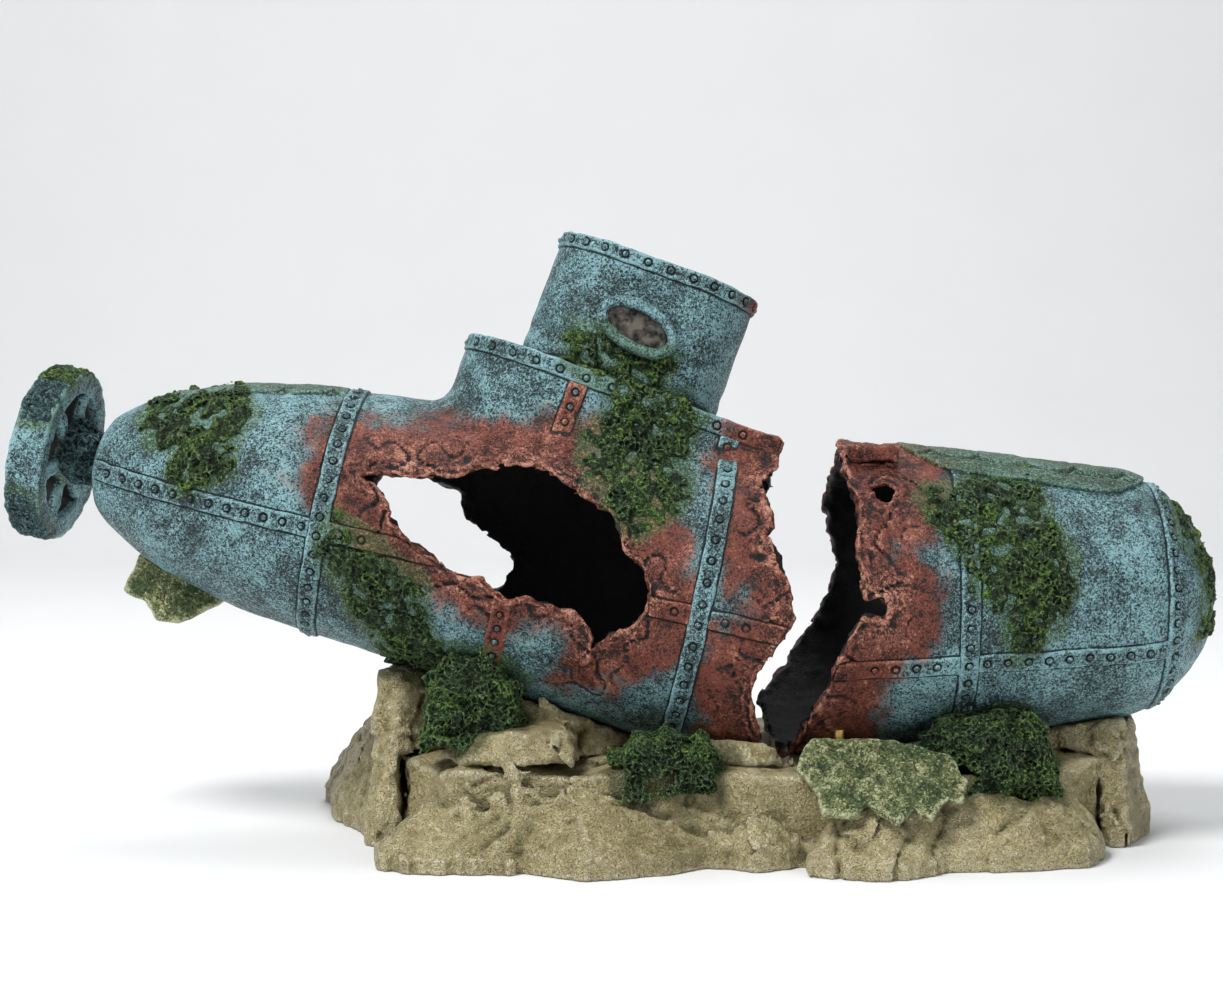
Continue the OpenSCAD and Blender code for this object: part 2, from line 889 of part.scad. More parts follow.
plinth();
rocks_left();
rocks_front();
rocks_right();
rocks_rear();
aft_hull();
aft_ring_strap_rear();
aft_ring_strap_fore();
aft_strake_front();
aft_strake_rear();
aft_tear_strap();
aft_deck_plate();
deck_casing();
deck_rim_strap();
casing_upright_straps();
conning_tower();
tower_rim_strap();
tower_hatch();
porthole_rims();
porthole_panes();
stern_shaft();
stern_wheel();
stern_fin();
fallen_plate();
bow_hull();
bow_ring_strap_rear();
bow_ring_strap_fore();
bow_strake_front();
bow_strake_rear();
bow_deck_plate();
bow_casing_stub();
bow_rim_stub();
aft_rivets();
casing_rivets();
tower_rivets();
bow_rivets();
moss_stern();
moss_side();
moss_tower();
moss_base_left();
moss_base_middle();
moss_bow();
moss_base_right();
moss_wheel();
crust_nose();
crust_hub();
crust_wheel();
air_stone();
air_spigot();
socket_plug();
bubble_nozzle();
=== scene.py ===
"""Looks of the wrecked-submarine bubbling ornament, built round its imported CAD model.

Each casting is a signed distance field on a grid of points: the CAD shape, worn, dented and torn, and then
meshed. Fields and points are in millimetres, and meshes in metres.
"""

import bmesh
import bpy
import numpy as np
import openvdb
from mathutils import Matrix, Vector


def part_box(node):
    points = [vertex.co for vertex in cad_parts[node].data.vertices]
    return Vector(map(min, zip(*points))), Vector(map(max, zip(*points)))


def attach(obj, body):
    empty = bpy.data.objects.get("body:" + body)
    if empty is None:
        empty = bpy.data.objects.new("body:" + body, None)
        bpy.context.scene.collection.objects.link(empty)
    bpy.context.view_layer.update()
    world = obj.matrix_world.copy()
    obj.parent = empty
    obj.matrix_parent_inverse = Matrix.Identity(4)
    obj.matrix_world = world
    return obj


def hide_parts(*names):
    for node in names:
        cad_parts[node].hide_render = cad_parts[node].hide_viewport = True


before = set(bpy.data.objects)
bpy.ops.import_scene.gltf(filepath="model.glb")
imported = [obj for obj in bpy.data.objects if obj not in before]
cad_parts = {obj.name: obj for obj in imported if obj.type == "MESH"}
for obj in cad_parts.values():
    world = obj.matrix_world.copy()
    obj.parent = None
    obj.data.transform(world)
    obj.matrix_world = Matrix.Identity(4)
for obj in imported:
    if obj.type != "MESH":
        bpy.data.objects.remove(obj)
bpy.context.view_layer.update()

MM = 0.001
FINENESS = 1.0
REACH = 2.4                                # how far from a surface a field is worked out
THIN = (0.25, 3.0)                         # step and reach of the grid that a strap or plate is sampled on
THICK = (0.4, 4.0)                         # the same for a bulky CAD node
BODY = "ornament"


# ---- Numbers on points ----

_random = np.random.RandomState(11)
GRADIENTS = _random.normal(size=(256, 3)).astype(np.float32)
GRADIENTS /= np.linalg.norm(GRADIENTS, axis=1)[:, None]
SHUFFLE = _random.permutation(256).astype(np.int32)
SEED_SHIFT = np.array([37.13, 17.71, 59.37])


def lattice(cell):
    """A fixed random number from 0 to 255 for each cell of whole coordinates."""
    first = SHUFFLE[cell[:, 0] & 255]
    second = SHUFFLE[(first + cell[:, 1]) & 255]
    return SHUFFLE[(second + cell[:, 2]) & 255]


def noise(p, size, seed=0):
    """Smooth noise from about -1 to 1 at points p, with features of that size."""
    q = (p / size + SEED_SHIFT * (seed + 1)).astype(np.float32)
    cell = np.floor(q).astype(np.int32)
    f = q - cell
    fade = f * f * f * (f * (f * 6 - 15) + 10)
    total = np.zeros(len(p), np.float32)
    for corner in np.ndindex(2, 2, 2):
        step = np.array(corner, np.int32)
        share = np.prod(np.where(step, fade, 1 - fade), axis=1)
        slope = GRADIENTS[lattice(cell + step)]
        total += share * ((f - step) * slope).sum(1)
    return total * 1.7


def noise_shift(p, size, seed):
    """A smooth random shift for each point."""
    return np.stack([noise(p, size, seed + k) for k in range(3)], 1)


def smoothstep(low, high, value):
    t = np.clip((value - low) / (high - low), 0, 1)
    return t * t * (3 - 2 * t)


def blend_min(a, b, k):
    """The lower of two fields, with a fillet of size k where they meet."""
    h = np.clip(0.5 + 0.5 * (b - a) / k, 0, 1)
    return b + (a - b) * h - k * h * (1 - h)


def blend_max(a, b, k):
    return -blend_min(-a, -b, k)


def facets(p, size, seed=0):
    """Chipped planes: each cell of a random pattern has a plane of its own tilt. About -1 to 1."""
    q = (p / size + SEED_SHIFT * (seed + 1)).astype(np.float32)
    cell = np.floor(q).astype(np.int32)
    nearest = np.full(len(p), 1e9, np.float32)
    height = np.zeros(len(p), np.float32)
    for corner in np.ndindex(3, 3, 3):
        here = cell + np.array(corner, np.int32) - 1
        index = lattice(here)
        away = q - here - 0.5 - GRADIENTS[index] * 0.45
        distance = (away ** 2).sum(1)
        closer = distance < nearest
        nearest = np.where(closer, distance, nearest)
        height = np.where(closer, (away * GRADIENTS[(index + 101) & 255]).sum(1), height)
    return height * 1.6


# ---- Fields from CAD nodes ----


def read(items, key, width, kind=np.float32):
    """One row of numbers for each item of a mesh."""
    values = np.zeros(len(items) * width, kind)
    items.foreach_get(key, values)
    return values.reshape(-1, width)


def node_points(node):
    return read(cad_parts[node].data.vertices, "co", 3) / MM


def node_triangles(node):
    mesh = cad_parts[node].data
    mesh.calc_loop_triangles()
    return read(mesh.loop_triangles, "vertices", 3, np.int32)


def node_box(*nodes):
    corners = [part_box(n) for n in nodes]
    lo = np.min([c[0] for c in corners], 0) / MM
    hi = np.max([c[1] for c in corners], 0) / MM
    return lo, hi


class Sampled:
    """A CAD node's signed distance, on a grid of its own, read at any point."""

    def __init__(self, node, step, reach):
        points = node_points(node)
        self.step = step
        self.reach = reach
        self.lo = points.min(0) - reach - 2 * step
        size = np.ceil((points.max(0) + reach + 2 * step - self.lo) / step).astype(int) + 1
        grid = openvdb.FloatGrid.createLevelSetFromPolygons(
            np.ascontiguousarray((points - self.lo) / step, np.float32),
            triangles=np.ascontiguousarray(node_triangles(node), np.uint32),
            halfWidth=reach / step,
        )
        self.values = np.full(tuple(size), reach / step, np.float32)
        grid.copyToArray(self.values)
        self.values *= step

    def __call__(self, p):
        q = np.clip((p - self.lo) / self.step, 0, np.array(self.values.shape) - 1.001)
        cell = q.astype(np.int32)
        f = (q - cell).astype(np.float32)
        total = np.zeros(len(p), np.float32)
        for corner in np.ndindex(2, 2, 2):
            i, j, k = (cell + corner).T
            total += np.prod(np.where(corner, f, 1 - f), axis=1) * self.values[i, j, k]
        return total

    def soften(self, size):
        """Rounds edges and corners, by that many millimetres or so."""
        for _ in range(int(round(2 * (size / self.step) ** 2))):
            for axis in range(3):
                before = np.roll(self.values, 1, axis)
                after = np.roll(self.values, -1, axis)
                self.values = (before + 2 * self.values + after) / 4


_sampled = {}


def sampled(node, step, reach):
    """A CAD node's field. The first call for a node sets its grid for all later ones."""
    if node not in _sampled:
        _sampled[node] = Sampled(node, step, reach)
    return _sampled[node]


def cad_distance(node, p, step=0.4, reach=5.0):
    """Distance of points from a CAD node, negative inside, true up to the reach of its grid."""
    return sampled(node, step, reach)(p)


# ---- Straight frames taken from CAD nodes ----


class Straight:
    """A centre and three directions: along, across (level) and up."""

    def __init__(self, centre, along, up):
        self.centre = np.array(centre, np.float32)
        self.along = np.array(along, np.float32) / np.linalg.norm(along)
        across = np.cross(up, self.along)
        self.across = (across / np.linalg.norm(across)).astype(np.float32)
        self.up = np.cross(self.along, self.across)
        self.turn = np.stack([self.along, self.across, self.up])

    def local(self, p):
        return (p - self.centre) @ self.turn.T

    def world(self, q):
        return np.asarray(q, np.float32) @ self.turn + self.centre


def face_normals(points, triangles):
    """Each triangle's normal and its area."""
    a, b, c = (points[triangles[:, k]] for k in range(3))
    face = np.cross(b - a, c - a)
    doubled = np.maximum(np.linalg.norm(face, axis=1), 1e-9)
    return face / doubled[:, None], doubled / 2


def main_normal(node, towards, square_to=None):
    """The direction that most of a node's surface on that side faces, square to another one if given."""
    face, area = face_normals(node_points(node), node_triangles(node))
    keep = face @ np.array(towards) > 0.4
    if square_to is not None:
        keep &= np.abs(face @ square_to) < 0.02
    kinds, which = np.unique(np.round(face[keep], 2), axis=0, return_inverse=True)
    total = np.bincount(which.reshape(-1), area[keep], len(kinds))
    best = face[keep][which.reshape(-1) == total.argmax()]
    return best.mean(0) / np.linalg.norm(best.mean(0))


def box_middle(node, directions):
    flat = node_points(node) @ directions.T
    return ((flat.min(0) + flat.max(0)) / 2) @ directions


UP = (0, 0, 1)
FORE = (1, 0, 0)
FRONTWARD = (0, -1, 0)


def ring_frame(node):
    """Frame of a ring or a wheel: along its axis."""
    along = main_normal(node, FORE)
    frame_of = Straight((0, 0, 0), along, UP)
    frame_of.centre = box_middle(node, frame_of.turn)
    return frame_of


def deck_frame(flat_node, node):
    """Frame of a level plate or tower: its flat top faces up, and its straight sides face across."""
    up = main_normal(flat_node, UP)
    front = main_normal(flat_node, FRONTWARD, square_to=up)
    frame_of = Straight((0, 0, 0), np.cross(-front, up), up)
    frame_of.centre = box_middle(node, frame_of.turn)
    return frame_of


AFT = ring_frame("aft_ring_strap_rear")
BOW = ring_frame("bow_ring_strap_rear")
WHEEL = ring_frame("stern_wheel")
DECK = deck_frame("deck_casing", "deck_rim_strap")
TOWER = deck_frame("conning_tower", "tower_rim_strap")

WALL = 3.0            # of the hull castings
STRAP_LIFT = 0.6      # of a strap above the skin
LET_IN = 0.3          # how far a strap is let into the skin


def skin_radius(node, axis):
    """Radius of the skin under a ring strap, and where the strap is along the axis."""
    q = axis.local(node_points(node))
    r = np.hypot(q[:, 1], q[:, 2])
    return (r.min() + r.max() - STRAP_LIFT + LET_IN) / 2, (q[:, 0].min() + q[:, 0].max()) / 2


# ---- Skins: the surfaces that straps, plates and growth sit on ----


def dents(p):
    return 0.35 * noise(p, 13, 1) + 0.14 * noise(p, 4.5, 2) + 0.05 * noise(p, 1.7, 3)


AFT_R, _ = skin_radius("aft_ring_strap_rear", AFT)
AFT_FORE_R, AFT_FORE_U = skin_radius("aft_ring_strap_fore", AFT)
BOW_R, _ = skin_radius("bow_ring_strap_rear", BOW)
BOW_FORE_R, BOW_FORE_U = skin_radius("bow_ring_strap_fore", BOW)
TAIL_U = float(AFT.local(node_points("aft_hull"))[:, 0].min())
NOSE_U = float(BOW.local(node_points("bow_hull"))[:, 0].max())
TAIL_LENGTH = 60.0
TAIL_FULLNESS = 2.4       # 2 makes an elliptical end, and more a blunter one
NOSE_START = 36.0
NOSE_TAPER = -0.12
NOSE_FULLNESS = 2.2


def aft_radius(u):
    taper = (AFT_FORE_R - AFT_R) / AFT_FORE_U
    round_off = 1 - (np.maximum(0, -u) / TAIL_LENGTH) ** TAIL_FULLNESS
    return (AFT_R + taper * u) * np.sqrt(np.maximum(0, round_off))


def bow_radius(u):
    round_off = 1 - (np.maximum(0, u - NOSE_START) / (NOSE_U - NOSE_START)) ** NOSE_FULLNESS
    return (BOW_R + NOSE_TAPER * u) * np.sqrt(np.maximum(0, round_off))


def revolved(p, axis, radius, inset=0.0):
    """Distance from a surface of revolution, evened out where it slopes."""
    q = axis.local(p)
    u = q[:, 0]
    r = np.hypot(q[:, 1], q[:, 2])
    slope = radius(u + 0.5) - radius(u - 0.5)
    return (r - radius(u)) / np.sqrt(1 + np.minimum(slope ** 2, 9)) + inset


def aft_skin(p):
    u = AFT.local(p)[:, 0]
    return blend_max(revolved(p, AFT, aft_radius), TAIL_U - u, 3) + dents(p)


def bow_skin(p):
    u = BOW.local(p)[:, 0]
    return blend_max(revolved(p, BOW, bow_radius), u - NOSE_U, 2) + dents(p)


def stadium(q, half_length, radius):
    """Distance from a plan with straight sides and round ends."""
    along = np.maximum(np.abs(q[:, 0]) - (half_length - radius), 0)
    return np.hypot(along, q[:, 1]) - radius


def oval(q, half_length, half_width):
    """Distance from an ellipse, close to true near its line."""
    once = np.hypot(q[:, 0] / half_length, q[:, 1] / half_width)
    twice = np.hypot(q[:, 0] / half_length ** 2, q[:, 1] / half_width ** 2)
    return once * (once - 1) / np.maximum(twice, 1e-6)


def spans(node, axis):
    q = axis.local(node_points(node))
    return q.min(0), q.max(0)


RIM_LO, RIM_HI = spans("deck_rim_strap", DECK)
RIM_RISE = 0.4          # of the rim strap's edge above the casing's top
DECK_HALF = RIM_HI[1] - STRAP_LIFT
DECK_REAR = RIM_LO[0] + STRAP_LIFT
DECK_TOP = RIM_HI[2] - RIM_RISE
CASING_REACH = 80.0     # half the length of the casing's plan, which runs on past the break
TOWER_HI = spans("conning_tower", TOWER)[1]
WHEEL_HI = spans("stern_wheel", WHEEL)[1]


def casing_wall(p):
    """The casing's side wall, closed at its rear end."""
    q_plan = DECK.local(p)[:, :2] - [DECK_REAR + CASING_REACH, 0]
    return stadium(q_plan, CASING_REACH, DECK_HALF) + dents(p)


def casing_skin(p):
    return blend_max(casing_wall(p), DECK.local(p)[:, 2] - DECK_TOP, 0.8)


def tower_wall(p):
    return stadium(TOWER.local(p), TOWER_HI[0], TOWER_HI[1]) + dents(p)


def tower_skin(p):
    return blend_max(tower_wall(p), TOWER.local(p)[:, 2] - TOWER_HI[2], 0.8)


def wheel_skin(p):
    """The outside of the wheel's rim."""
    q = WHEEL.local(p)
    return np.hypot(q[:, 1], q[:, 2]) - WHEEL_HI[2] + 0.5 * dents(p)


def upper_skin(p):
    """Aft hull, casing and tower together, with fillets where they meet."""
    low = blend_min(aft_skin(p), casing_skin(p), 3.5)
    return blend_min(low, tower_skin(p), 2.5)


# ---- Tears and breaks, measured on the CAD hulls ----


def welded(node):
    """A node's vertices with doubles merged, and its triangles on them."""
    whole, where = np.unique(np.round(node_points(node), 3), axis=0, return_inverse=True)
    return whole, where.reshape(-1)[node_triangles(node)]


def sharp_edges(node, degrees=35):
    """Both ends of each edge where two faces meet at more than that angle."""
    points, triangles = welded(node)
    face, _ = face_normals(points, triangles)
    sides = np.concatenate([triangles[:, [0, 1]], triangles[:, [1, 2]], triangles[:, [2, 0]]])
    owner = np.tile(np.arange(len(triangles)), 3)
    sides = np.sort(sides, 1)
    order = np.lexsort((sides[:, 1], sides[:, 0]))
    sides, owner = sides[order], owner[order]
    pair = np.nonzero((sides[1:] == sides[:-1]).all(1))[0]
    bend = (face[owner[pair]] * face[owner[pair + 1]]).sum(1)
    sharp = sides[pair[bend < np.cos(np.radians(degrees))]]
    return points[sharp[:, 0]], points[sharp[:, 1]]


class Torn:
    """How far a point is from the torn edges of a hull, negative where the wall is gone.

    The front and the rear wall each have a table over the plane of the axis and up.
    """

    STEP = 0.5
    UNTOUCHED = 3.0        # the closed end of a section, which has sharp edges of its own
    CLOSED = 12.0          # nothing is torn this close to it

    def __init__(self, node, axis, radius, closed_end):
        self.axis = axis
        lo, hi = spans(node, axis)
        self.lo = np.array([lo[0] - 12, lo[2] - 4], np.float32)
        shape = np.ceil((np.array([hi[0] + 12, hi[2] + 4]) - self.lo) / self.STEP).astype(int)
        u, v = np.meshgrid(*(np.arange(n) * self.STEP + s for n, s in zip(shape, self.lo)), indexing="ij")
        flat = np.stack([u.ravel(), v.ravel()], 1).astype(np.float32)
        ends = [axis.local(e) for e in sharp_edges(node)]
        middle = (ends[0] + ends[1]) / 2
        on_skin = np.hypot(middle[:, 1], middle[:, 2]) > radius(middle[:, 0]) - 0.5
        keep = on_skin & (np.abs(middle[:, 0] - closed_end) > self.UNTOUCHED)
        from_end = np.abs(flat[:, 0] - closed_end) > self.CLOSED
        open_side = from_end & (np.sign(flat[:, 0] - closed_end) == np.sign(lo[0] + hi[0] - 2 * closed_end))
        self.tables = []
        for side in (-1, 1):
            mine = keep & (middle[:, 1] * side > 0)
            best = np.full(len(flat), 1e9, np.float32)
            for a, b in zip(ends[0][mine][:, [0, 2]], ends[1][mine][:, [0, 2]]):
                edge = b - a
                w = flat - a
                t = np.clip((w @ edge) / (edge @ edge + 1e-9), 0, 1)
                best = np.minimum(best, ((w - t[:, None] * edge) ** 2).sum(1))
            inner = np.maximum(radius(flat[:, 0]) - WALL / 2, 0.1)
            y = side * np.sqrt(np.maximum(inner ** 2 - np.minimum(np.abs(flat[:, 1]), inner) ** 2, 0))
            v_on = np.clip(flat[:, 1], -inner, inner)
            wall = axis.world(np.stack([flat[:, 0], y, v_on], 1))
            gone = (cad_distance(node, wall.astype(np.float32)) > 0) & open_side
            self.tables.append((np.where(gone, -1, 1) * np.sqrt(best)).reshape(tuple(shape)))

    def __call__(self, p, ragged=True):
        q = self.axis.local(p)
        plane = q[:, [0, 2]]
        if ragged:
            for k, seed in ((0, 21), (1, 24)):
                plane[:, k] += 0.8 * noise(p, 5.5, seed) + 0.45 * noise(p, 2.1, seed + 1)
        cell = (plane - self.lo) / self.STEP
        cell = np.clip(cell, 0, np.array(self.tables[0].shape) - 1.001)
        i, j = cell.astype(np.int32).T
        f, g = (cell - np.floor(cell)).T
        found = [
            (1 - f) * (1 - g) * t[i, j] + f * (1 - g) * t[i + 1, j]
            + (1 - f) * g * t[i, j + 1] + f * g * t[i + 1, j + 1]
            for t in self.tables
        ]
        rear = smoothstep(-0.5, 0.5, q[:, 1])
        return ((1 - rear) * found[0] + rear * found[1]).astype(np.float32)


AFT_TORN = Torn("aft_hull", AFT, aft_radius, TAIL_U)
BOW_TORN = Torn("bow_hull", BOW, bow_radius, NOSE_U)
BREAK_X = (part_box("aft_hull")[1].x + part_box("bow_hull")[0].x) / 2 / MM


def torn_distance(p):
    """Distance from the nearest torn edge of either section, without its raggedness."""
    return np.where(p[:, 0] < BREAK_X, AFT_TORN(p, ragged=False), BOW_TORN(p, ragged=False))


# ---- From a field to a piece ----


def grid_points(start, shape, step):
    axes = [np.arange(n, dtype=np.float32) * step + s for n, s in zip(shape, start)]
    return np.stack(np.meshgrid(*axes, indexing="ij"), -1).reshape(-1, 3)


def solve(lo, hi, step, rough, detail):
    """Works out a field in a box: its values, its lowest corner and its step.

    Nothing reaches below the ground at height 0, on which the object stands with its flat underside.
    """
    step = step * FINENESS
    margin = 4 * step
    start = np.array(lo, float) - margin
    shape = tuple(np.ceil((np.array(hi, float) + margin - start) / step).astype(int) + 1)
    p = grid_points(start, shape, step)
    values = np.clip(rough(p), -REACH, REACH).astype(np.float32)
    if detail is not None:
        near = np.abs(values) < REACH
        values[near] = np.clip(detail(p[near], values[near]), -REACH, REACH)
    values = np.maximum(values, np.clip(-p[:, 2], -REACH, REACH)).reshape(shape)
    for face in range(3):
        rim = np.moveaxis(values, face, 0)
        rim[0] = np.maximum(rim[0], step)
        rim[-1] = np.maximum(rim[-1], step)
    return values, start, step


def add_object(name, data):
    made = bpy.data.objects.new(name, data)
    bpy.context.scene.collection.objects.link(made)
    return made


def add_piece(name, mesh, node):
    """A smooth piece that rides with the ornament and stands for its CAD node."""
    mesh.shade_smooth()
    piece = add_object(name, mesh)
    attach(piece, BODY)
    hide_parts(node)
    return piece


def cast(name, node, step, rough, detail=None, below=0.0, above=0.0):
    """Makes the piece that stands for a CAD node from a field, in the node's box or a wider one.

    rough(p) is the field, or a cheap form of it. Then detail(p, d) refines it within REACH of its surface.
    """
    lo, hi = node_box(node)
    values, start, step = solve(lo - below, hi + above, step, rough, detail)
    grid = openvdb.FloatGrid(REACH)
    grid.copyFromArray(values)
    points, quads = grid.convertToQuads(0.0)
    points = (points * step + start) * MM
    mesh = bpy.data.meshes.new(name)
    mesh.vertices.add(len(points))
    mesh.vertices.foreach_set("co", points.astype(np.float32).ravel())
    mesh.loops.add(quads.size)
    mesh.loops.foreach_set("vertex_index", quads.astype(np.int32).ravel())
    mesh.polygons.add(len(quads))
    mesh.polygons.foreach_set("loop_start", np.arange(0, quads.size, 4, dtype=np.int32))
    mesh.update(calc_edges=True)
    mesh.validate()
    return add_piece(name, mesh, node)


def vertices(piece):
    return read(piece.data.vertices, "co", 3) / MM


def normals(piece):
    return read(piece.data.vertex_normals, "vector", 3)


def paint(piece, name, values):
    """Stores a number for each vertex, for the materials to read."""
    layer = piece.data.attributes.get(name) or piece.data.attributes.new(name, "FLOAT", "POINT")
    layer.data.foreach_set("value", np.ascontiguousarray(values, np.float32))


def hollows(piece, rounds):
    """How far each vertex lies below its smoothed surroundings, in mm: above 0 in a hollow."""
    p = vertices(piece)
    a, b = read(piece.data.edges, "vertices", 2, np.int32).T
    count = np.maximum(np.bincount(a, minlength=len(p)) + np.bincount(b, minlength=len(p)), 1)
    smooth = p.copy()
    for _ in range(rounds):
        for axis in range(3):
            s = smooth[:, axis]
            total = np.bincount(a, s[b], len(p)) + np.bincount(b, s[a], len(p))
            smooth[:, axis] = total / count
    return ((smooth - p) * normals(piece)).sum(1)


GROWTH = [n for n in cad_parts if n.startswith(("moss_", "crust_"))]
GREEN_REACH = 5.5       # how far green spreads from moss and crust


def finish_paint(piece, rusts=1.0):
    """Stores what every painted casting has: hollows for the wash, torn lips, rust, green and strap edges."""
    p = vertices(piece)
    paint(piece, "hollow", hollows(piece, 6))
    paint(piece, "hollow_wide", hollows(piece, 30))
    q = AFT.local(p)
    below = smoothstep(0, -10, q[:, 2]) * (1 - smoothstep(AFT_FORE_U - 25, AFT_FORE_U - 5, q[:, 0]))
    tear = torn_distance(p)
    paint(piece, "lip", 1 - smoothstep(1, 7, tear))
    edge = tear + 6 * below + 4.5 * noise(p, 13, 31) + 2.5 * noise(p, 4, 32)
    paint(piece, "rust", rusts * (1 - smoothstep(1, 21, edge)))
    nearest = np.full(len(p), GREEN_REACH, np.float32)
    for node in GROWTH:
        lo, hi = node_box(node)
        close = ((p > lo - GREEN_REACH) & (p < hi + GREEN_REACH)).all(1)
        if close.any():
            away = cad_distance(node, p[close], 0.6, GREEN_REACH)
            nearest[close] = np.minimum(nearest[close], away)
    paint(piece, "green", 1 - smoothstep(0.0, GREEN_REACH, nearest + 2.0 * noise(p, 5, 33)))
    if "strap_gap" not in piece.data.attributes:
        paint(piece, "strap_gap", np.full(len(p), 9.0))


# ---- Hull sections ----

AFT_CAVITY_START = -14.0
BOW_CAVITY_END = 50.0
STRAP_KINDS = ("ring_strap_rear", "ring_strap_fore", "strake_front", "strake_rear")
STRAPS = {section: [f"{section}_{kind}" for kind in STRAP_KINDS] for section in ("aft", "bow")}
LAYER_SHIFT = np.array([17.0, 5.0, 11.0], np.float32)      # makes each layer of a torn edge break its own way
WEDGE = 0.7             # makes up for the sharp tip that an oblique cut loses


def chipped(p, opening, skin):
    """A torn edge in layers, with broken facets, from its plain distance."""
    close = opening < 6
    some = p[close]
    layer = np.floor(np.clip(-skin[close], 0, WALL))
    shifted = some + layer[:, None] * LAYER_SHIFT
    edge = opening + WEDGE
    edge[close] += 0.7 * noise(shifted, 4.5, 47) + 0.45 * facets(some, 4.5, 48)
    return edge


def torn_shell(p, skin, cavity, opening):
    """A wall with a cavity behind it and a torn, swollen and cracked edge."""
    lump = np.maximum(0.3 + 0.8 * noise(p, 3.0, 41), 0)
    swell = lump * np.exp(-np.maximum(opening, 0) / 1.6)
    near = 1 - smoothstep(2, 11, opening)
    crack = near * (1 - smoothstep(0.0, 0.06, np.abs(noise(p, 9, 42))))
    flake = np.maximum(noise(p, 2.6, 43), 0) * (1 - smoothstep(0, 5, opening))
    strata = 0.28 * np.sin(opening * 4.2 + 3.5 * noise(p, 5, 49)) * np.exp(-np.maximum(opening, 0) / 2.5)
    outer = skin - 0.8 * swell + 0.9 * crack + 0.5 * flake + strata
    inner = cavity + 0.9 * swell + 0.4 * noise(p, 6, 44) + 0.25 * noise(p, 2.4, 45)
    return blend_max(blend_max(outer, -inner, 0.5), -chipped(p, opening, skin), 0.5)


def hull(name, node, axis, radius, skin, torn, cavity_edge, straps):
    """One section of the pressure hull, from its skin, its cavity and its tears."""
    def cavity(p):
        return blend_max(revolved(p, axis, radius, WALL), cavity_edge(axis.local(p)[:, 0]), 4)

    def rough(p):
        return np.maximum(revolved(p, axis, radius), -cavity(p))

    def detail(p, d):
        return torn_shell(p, skin(p), cavity(p), torn(p))

    piece = cast(name, node, 0.55, rough, detail)
    p = vertices(piece)
    note_strap_edges(piece, straps)
    paint(piece, "depth", -skin(p))
    finish_paint(piece)
    return piece


def note_strap_edges(piece, straps):
    """Stores how far each vertex is from the side of a strap."""
    p = vertices(piece)
    beside = p + normals(piece) * (STRAP_LIFT / 2)
    gap = np.min([np.abs(cad_distance(n, beside, *THIN)) for n in straps], 0)
    paint(piece, "strap_gap", gap)


# ---- Straps, plates and rivets ----


def footprint(node, skin, p, surface):
    """Distance sideways from the outline of what a CAD node covers on a skin."""
    h = 0.4
    slope = np.stack([skin(p + np.eye(3, dtype=np.float32)[i] * h) - surface for i in range(3)], 1)
    slope /= np.maximum(np.linalg.norm(slope, axis=1), 1e-6)[:, None]
    middle = (STRAP_LIFT - LET_IN) / 2
    return cad_distance(node, (p - slope * (surface - middle)[:, None]).astype(np.float32), *THIN)


def loose_parts(node):
    """The points of each separate solid in a CAD node."""
    points, triangles = welded(node)
    group = np.arange(len(points))
    while True:
        lowest = group[triangles].min(1)
        after = group.copy()
        for k in range(3):
            np.minimum.at(after, triangles[:, k], lowest)
        after = after[after]
        if (after == group).all():
            break
        group = after
    return [points[group == g] for g in np.unique(group)]


RIVET_HEAD = 0.62
RIVET_RING = 1.05
RIVET_SINK = 0.2       # of a head into its strap
DOME = 0.6             # height of a head above its foot
RUST_OF_RINGS = 0.25   # the rings kept their turquoise where the lengthwise straps rusted
RIVETS = {n: loose_parts(n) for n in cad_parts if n.endswith("_rivets")}
RIVET_PLACES = np.array([part.mean(0) for parts in RIVETS.values() for part in parts], np.float32)


def rivet_distance(p, reach=2.5):
    """Distance from the nearest rivet's centre, true up to reach."""
    nearest = np.full(len(p), reach, np.float32)
    order = np.argsort(p[:, 0])
    x = p[order, 0]
    for centre in RIVET_PLACES:
        i, j = np.searchsorted(x, [centre[0] - reach, centre[0] + reach])
        some = order[i:j]
        nearest[some] = np.minimum(nearest[some], np.linalg.norm(p[some] - centre, axis=1))
    return nearest


def ring_round_rivets(p):
    """1 in the sunk ring round each rivet head, 0 elsewhere."""
    away = rivet_distance(p)
    inside = smoothstep(RIVET_HEAD - 0.15, RIVET_HEAD + 0.1, away)
    return inside * (1 - smoothstep(RIVET_RING - 0.1, RIVET_RING + 0.2, away))


STRAP_DEPTH = 1.2       # of a strap below the skin that it stands on


def raised(name, node, skin, lift=STRAP_LIFT, pattern=None, rusts=1.0):
    """A strap or plate that stands proud of a skin, on the footprint of its CAD node."""
    def detail(p, d):
        surface = skin(p)
        side = footprint(node, skin, p, surface) + 0.25 * noise(p, 3.5, 51)
        top = surface - lift + 0.45 * ring_round_rivets(p) + 0.12 * noise(p, 2.3, 52)
        if pattern is not None:
            top = top + pattern(p)
        return blend_max(blend_max(top, side, 0.5), -(surface + STRAP_DEPTH), 0.3)

    def rough(p):
        return cad_distance(node, p, *THIN)

    piece = cast(name, node, 0.32, rough, detail)
    finish_paint(piece, rusts)
    paint(piece, "line", rivet_distance(vertices(piece)))
    return piece


